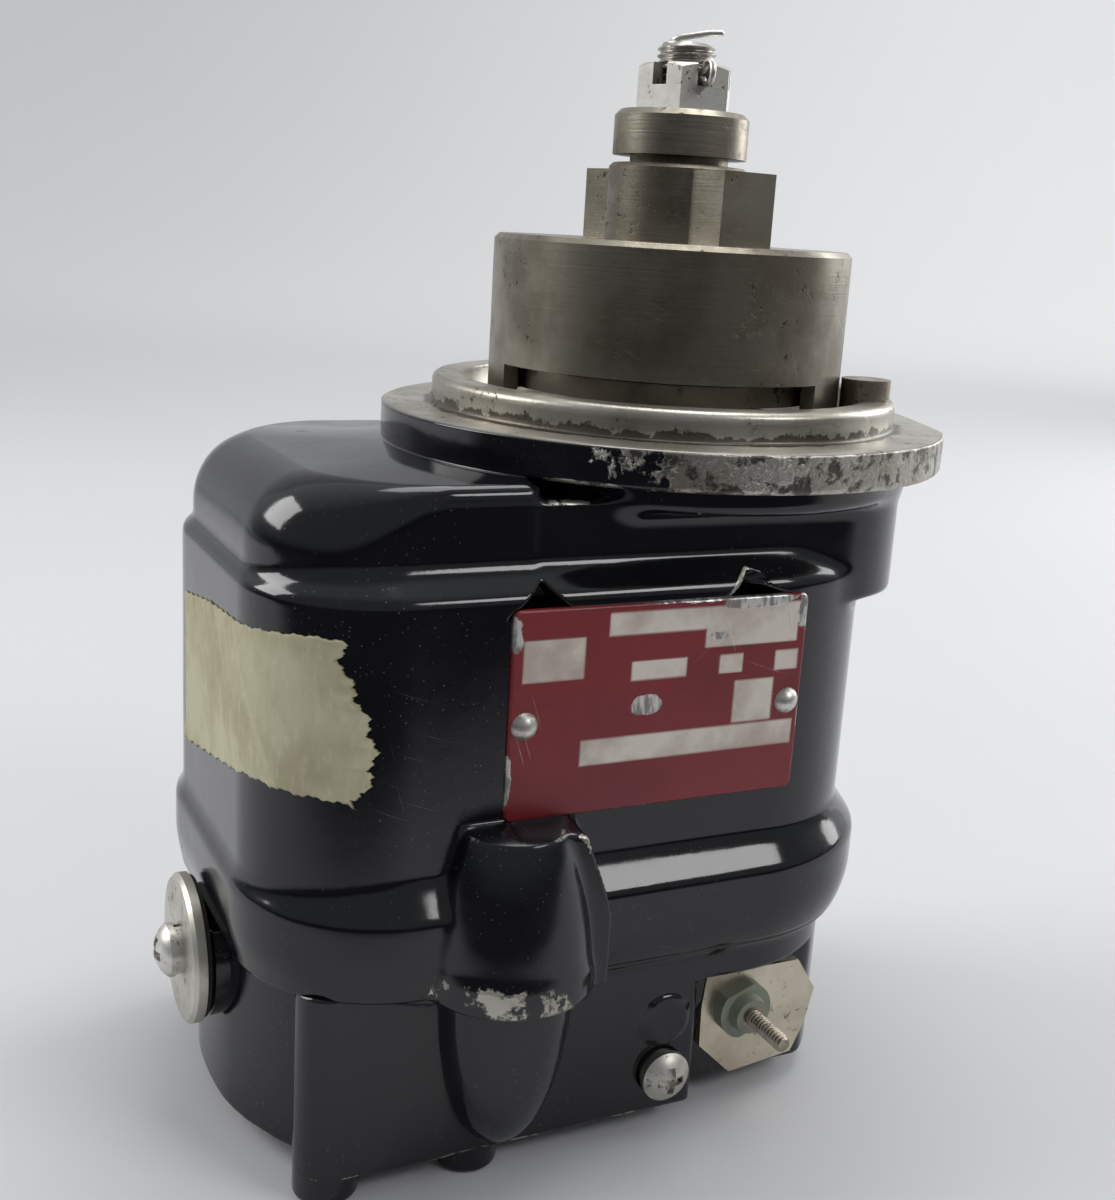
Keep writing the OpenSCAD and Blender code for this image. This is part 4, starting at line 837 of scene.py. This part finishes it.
def two_layers(name, front, back, values):
    """Thin sheet: two grids of one shape that meet all round their border, welded into a closed skin."""
    rows, columns = front.shape[:2]
    quads = grid_faces(rows, columns, False, False)
    faces = np.concatenate([quads, quads[:, ::-1] + rows * columns])
    doubled = {key: np.concatenate([data, data]) for key, data in values.items()}
    return weld(mesh_from(name, np.stack([front, back]), faces, doubled))


# Printed fields of the data plate from its lower left corner, in millimetres: left, right, bottom, top
PLATE_FIELDS = ((15.4, 48.5, 27.3, 30.7), (1.9, 11.6, 21.2, 27.4), (31.8, 48.2, 24.4, 27.6),
                (19.5, 28.8, 20.2, 23.1), (34.6, 38.7, 20.1, 23.0), (44.6, 48.7, 19.9, 23.0),
                (37.6, 44.6, 12.0, 18.7), (11.8, 48.8, 7.7, 11.6))
# Scraped patches of the data plate: middle across and up, half width, half height and strength
PLATE_SCRAPES = ((22.3, 16.2, 5.0, 3.2, 1.25), (41.0, 31.2, 13.0, 2.2, 1.0), (49.4, 29.0, 3.0, 6.0, 1.0),
                 (0.4, 28.5, 3.0, 6.5, 1.0), (0.2, 6.0, 1.4, 8.0, 0.9), (2.8, 14.7, 3.4, 4.2, 0.75),
                 (34.0, 26.0, 9.0, 1.8, 0.8), (28.0, 31.8, 22.0, 1.0, 0.9), (25.0, 0.1, 26.0, 0.7, 0.8),
                 (49.9, 12.0, 1.0, 11.0, 0.9))


def data_plate():
    """Data plate: a grid of rows up the plate whose ends draw in by a quarter circle at the corners, with an
    edge that falls to the back. Its fields and scraped patches are functions of the place on it."""
    low, high = (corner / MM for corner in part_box("data_plate"))
    wide, tall, corner = high.x - low.x, high.z - low.z, 1.5
    up = tall * np.linspace(0, 1, 150)
    short = corner - np.sqrt(corner ** 2 - np.maximum(corner - np.minimum(up, tall - up), 0) ** 2)
    along = np.linspace(-1, 1, 234)
    x = wide / 2 + along * (wide / 2 - short)[:, None]
    z = np.repeat(up[:, None], along.size, 1)
    margin = np.minimum((1 - np.abs(along)) * (wide / 2 - short)[:, None], np.minimum(z, tall - z))
    depth = high.y + (low.y - high.y) * np.clip(margin / 0.3, 0, 1)
    field = np.zeros(x.shape)
    for left, right, bottom, top in PLATE_FIELDS:
        inset = np.minimum(np.minimum(x - left, right - x), np.minimum(z - bottom, top - z))
        field = np.maximum(field, np.clip(inset / 0.22 + 0.5, 0, 1))
    scrape = np.zeros(x.shape)
    for middle, level, half_x, half_z, strength in PLATE_SCRAPES:
        apart = ((x - middle) / half_x) ** 2 + ((z - level) / half_z) ** 2
        scrape = np.maximum(scrape, strength * np.clip(1 - apart, 0, 1))
    front = np.stack([low.x + x, depth, low.z + z], -1)
    back = np.stack([low.x + x, np.full(x.shape, high.y), low.z + z], -1)
    sheet = two_layers("printed_data_plate", front, back, {"field": field, "scrape": scrape})
    return dress(sheet, "plate_red", "casing", "data_plate")


def wander(value, *waves):
    """Sum of sine waves, given as (height, rate, shift), for torn and creased edges."""
    return sum(height * np.sin(rate * value + shift) for height, rate, shift in waves)


def masking_tape():
    """Torn masking tape: a path round the slab's coil-side corner, from the side wall through the corner's
    arc, with rows between a sagging top edge and bottom edge. It ends on a torn line and lifts in creases."""
    radius = SLAB[3]
    side_end = SLAB[2] - radius
    straight = TAPE_BACK_Y + side_end
    down = np.linspace(0, 1, 90)[:, None]
    level = -26.4 - 24.4 * down
    torn = np.interp(-level[:, 0], (26.4, 29.2, 32.0, 36.9, 41.2, 46.0, 50.8),
                     (54.4, 53.8, 55.2, 57.4, 58.9, 58.6, 56.2))
    torn = torn[:, None] + wander(level, (0.45, 1.3, 0.0), (0.3, 3.7, 1.0), (0.16, 8.9, 2.0))
    share = np.linspace(0, 1, 170)[None, :]
    run = share * torn
    top = np.interp(run, (0, 16.6, 49.5, 54.4), (-31.5, -28.9, -26.2, -26.4))
    top = top + wander(run, (0.12, 1.9, 0.0), (0.08, 5.1, 1.0))
    bottom = np.interp(run, (0, 2.3, 38.3, 52.9, 58.0), (-56.6, -56.4, -49.2, -49.6, -50.8))
    bottom = bottom + wander(run, (0.2, 1.4, 0.4), (0.15, 4.3, 2.0))
    z = top + (bottom - top) * down
    turn = math.pi + np.maximum(run - straight, 0) / radius
    margin = np.minimum(np.minimum(run, torn - run), np.minimum(top - z, z - bottom))
    crease = np.clip(wander(run + 0.6 * z, (0.5, 0.9, 0.3), (0.5, 0.37, 1.2)), 0, 1) ** 3 * 0.35
    lift = 0.7 * share ** 30 * np.clip(wander(z, (0.8, 0.7, 0.2), (0.4, 2.1, 0.0)), 0, 1)
    rise = 0.06 + (0.2 + crease + lift) * np.clip(margin / 0.25, 0, 1) + 0.5 * lift
    layers = []
    for off in (rise, 0.02 + 0.5 * lift):
        x = SLAB[0] + radius + (radius + off) * np.cos(turn)
        y = np.where(run < straight, TAPE_BACK_Y - run, -side_end + (radius + off) * np.sin(turn))
        layers.append(np.stack([x, y, z], -1))
    border = (margin <= 1e-9)[..., None]
    layers[1] = np.where(border, layers[0], layers[1])
    clump = 0.8 * np.clip(1 - np.hypot(run - 8, z + 46) / 5, 0, 1)
    frayed = np.clip(1 - margin / 1.2, 0, 1) * (share ** 2) + clump
    return dress(two_layers("torn_tape", *layers, {"torn": frayed}), "tape", "casing", "masking_tape")


def thread(pitch, depth, low, high):
    """Ripple of a screw thread: a triangle wave along the level that climbs one pitch in each turn."""
    def ripple(turn, level):
        phase = (level / pitch - turn / (2 * math.pi)) % 1.0
        groove = depth * ease(1.15 * (1 - np.abs(2 * phase - 1)))
        return -groove * ease((level - low) / pitch + 0.5) * ease((high - level) / pitch + 0.5)
    return ripple


def rotor_shaft():
    """Rotor shaft with its threaded end, as a stepped profile of (radius, level) rows."""
    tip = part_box("rotor_shaft")[1].z / MM
    foot_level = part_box("rotor_shaft")[0].z / MM
    nut_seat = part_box("castle_nut")[0].z / MM
    rows = [(4.76, z) for z in np.linspace(tip - 0.7, nut_seat, 90)]
    profile = [(0, tip), (2.2, tip - 0.05), (3.9, tip), (4.3, tip - 0.2), *rows, (4.76, nut_seat - 0.6),
               (6, nut_seat - 0.6), (6, 0.4), (8.5, 0.4), (8.5, -22), (10, -22), (10, -71), (7.5, -71),
               (7.5, -76), (6, -76), (6, -91.2), (5, -91.2), (5, foot_level), (0, foot_level)]
    piece = turned("threaded_shaft", profile, 96, ripple=thread(1.058, 0.62, nut_seat, tip + 0.4))
    return dress(piece, "shaft_steel", "rotor", "rotor_shaft")


def terminal_stud():
    """Threaded terminal stud on its thicker shank: an upright profile laid over to point out of the front."""
    low, high = (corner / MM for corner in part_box("terminal_stud"))
    length = high.y - low.y
    rows = [(1.45, z) for z in np.linspace(4.6, length - 0.4, 84)]
    profile = [(0, 0), (1.95, 0), (1.95, 4.5), (1.45, 4.5), *rows, (1.05, length), (0, length)]
    piece = turned("threaded_stud", profile, 48, ripple=thread(0.75, 0.26, 4.9, length))
    lay = Matrix.Rotation(math.radians(90), 4, "X")
    place = Matrix.Translation(Vector(((low.x + high.x) / 2, high.y, (low.z + high.z) / 2)) * MM)
    piece.data.transform(place @ lay)
    return dress(piece, "stud_steel", "casing", "terminal_stud")


def cotter_pin():
    """Cotter pin: one wire along a smooth path, from the tail bent over the shaft's end, down its back and
    through to the eye, round it, and back through to the short tail."""
    path = curve_through([(6.0, -1.2, 60.7), (4.0, -0.3, 60.6), (1.6, 0.9, 60.1), (-0.7, 2.6, 59.5),
                          (-0.4, 5.4, 58.6), (0.1, 6.7, 56.4), (0.1, 5.8, 54.3), (0.0, 3.0, 53.85),
                          (-0.3, -4.0, 53.85), (-0.5, -6.4, 54.1), (-0.6, -7.6, 55.4), (-0.65, -9.0, 55.3),
                          (-0.7, -9.7, 53.9), (-0.65, -9.1, 52.4), (-0.55, -7.6, 52.1), (-0.5, -6.4, 52.9),
                          (-0.3, -4.0, 53.0), (0.0, 3.0, 53.0), (0.1, 6.2, 52.9), (0.3, 7.9, 51.6),
                          (0.4, 8.2, 49.6)], 190)
    return dress(tube("bent_cotter_pin", path, 0.5), "screw_steel", "rotor", "cotter_pin")


frame_skin()
housing_skin()
data_plate()
masking_tape()
rotor_shaft()
terminal_stud()
cotter_pin()

# Finishes of the solids that keep their shape
for name, solid in NODES.items():
    solid.data.materials.clear()
    solid.data.materials.append(FINISHES[SLOT_OF[name]])


# Floor, light and camera


def studio():
    """Pale sweep: a floor that curves up far behind the part, as a level and depth along one profile. What
    the camera and mirrored rays see of it far off is lifted to paper white, and mirrored rays find it dark in
    front."""
    bend = np.linspace(0, math.pi / 2, 24)
    depth = np.concatenate([[-3.0], 1.6 + 1.2 * np.sin(bend), [2.8]])
    height = np.concatenate([[0.0], 1.2 * (1 - np.cos(bend)), [4.0]]) + REST_Z * MM
    across = np.linspace(-4, 4, 5)
    turn = math.radians(CAMERA_TURN)
    x = across[None, :] * math.cos(turn) + depth[:, None] * math.sin(turn)
    y = -across[None, :] * math.sin(turn) + depth[:, None] * math.cos(turn)
    z = np.repeat(height[:, None], 5, 1)
    sweep = mesh_from("studio_sweep", np.stack([x, y, z], -1) / MM, grid_faces(len(depth), 5, False, False))
    material, tree, shader, vector = new_material("studio_paper")
    tone = mix_colour(tree, noise(tree, vector, 3.0), (0.56, 0.56, 0.57, 1), (0.6, 0.6, 0.61, 1))
    behind = distance_along(tree, vector, (math.sin(turn), math.cos(turn), 0))
    beside = distance_along(tree, vector, (math.cos(turn), -math.sin(turn), 0))
    glow = times(tree, span(tree, behind, 0.0, 2.0), span(tree, beside, -1.0, 1.0, 0.36, 0.6))
    path = put(tree, "ShaderNodeLightPath").outputs
    seen = larger(tree, path["Is Camera Ray"], path["Is Glossy Ray"])
    seen = larger(tree, seen, path["Is Transmission Ray"])
    glow = times(tree, glow, seen)
    front = times(tree, span(tree, behind, -0.12, -0.24), path["Is Glossy Ray"])
    tone = mix_colour(tree, front, tone, (0.02, 0.02, 0.022, 1))
    feed(tree, shader, Base_Color=tone, Roughness=0.9, Emission_Color=(0.98, 0.99, 1.0, 1),
         Emission_Strength=glow)
    sweep.data.materials.append(material)
    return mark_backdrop(sweep)


def softbox(name, place, target, size, power):
    lamp = bpy.data.lights.new(name, "AREA")
    lamp.shape = "RECTANGLE"
    lamp.size, lamp.size_y = size
    lamp.energy = power
    holder = bpy.data.objects.new(name, lamp)
    holder.location = place
    holder.rotation_euler = (Vector(target) - Vector(place)).to_track_quat("-Z", "Y").to_euler()
    bpy.context.scene.collection.objects.link(holder)


def photo_camera():
    """Camera from its measured place and angles: forward from turn and dip, right and up by the roll."""
    turn, dip, roll = (math.radians(a) for a in (CAMERA_TURN, CAMERA_DIP, CAMERA_ROLL))
    forward = Vector((math.sin(turn) * math.cos(dip), math.cos(turn) * math.cos(dip), -math.sin(dip)))
    level = Vector((math.cos(turn), -math.sin(turn), 0))
    rise = level.cross(forward)
    right = level * math.cos(roll) + rise * math.sin(roll)
    up = right.cross(forward)
    lens = bpy.data.cameras.new("photo_camera")
    lens.sensor_fit = "VERTICAL"
    lens.sensor_height = SENSOR
    lens.lens = FOCAL_PIXELS / PHOTO_HEIGHT * SENSOR
    lens.clip_start = 0.01
    holder = bpy.data.objects.new("photo_camera", lens)
    holder.matrix_world = Matrix.Translation(Vector(CAMERA_PLACE) * MM) @ Matrix(
        (right, up, -forward)).transposed().to_4x4()
    bpy.context.scene.collection.objects.link(holder)
    bpy.context.scene.camera = holder


def sky():
    """Room light: pale above and behind the part and dimmer on the camera's side, where only the camera
    itself sees a pale wall."""
    world = bpy.data.worlds.new("studio_room")
    bpy.context.scene.world = world
    world.use_nodes = True
    tree = world.node_tree
    facing = put(tree, "ShaderNodeTexCoord").outputs["Generated"]
    turn = math.radians(CAMERA_TURN)
    away = distance_along(tree, facing, (math.sin(turn) * 0.7, math.cos(turn) * 0.7, 0.7))
    up = put(tree, "ShaderNodeSeparateXYZ", {0: facing}).outputs[2]
    strength = larger(tree, span(tree, away, -0.1, 0.9, 0.02, 0.8), span(tree, up, -0.02, 0.2, 0.02, 0.3))
    strength = mix_value(tree, put(tree, "ShaderNodeLightPath").outputs["Is Camera Ray"], strength, 0.72)
    back = tree.nodes["Background"]
    back.inputs["Color"].default_value = (0.93, 0.96, 1.0, 1)
    tree.links.new(strength, back.inputs["Strength"])


studio()
sky()
softbox("overhead_box", (0.18, 0.12, 0.95), (-0.02, 0, -0.05), (0.6, 0.6), 4.6)
softbox("left_window", (-0.82, 0.42, 0.5), (-0.03, 0, -0.05), (0.5, 0.55), 6.0)
softbox("front_box", (0.47, -0.69, 0.58), (-0.02, -0.04, -0.065), (0.4, 0.24), 2.4)
softbox("right_fill", (0.95, 0.15, 0.35), (0, 0, -0.05), (0.5, 0.6), 4.5)
photo_camera()
bpy.context.scene.view_settings.view_transform = "Standard"
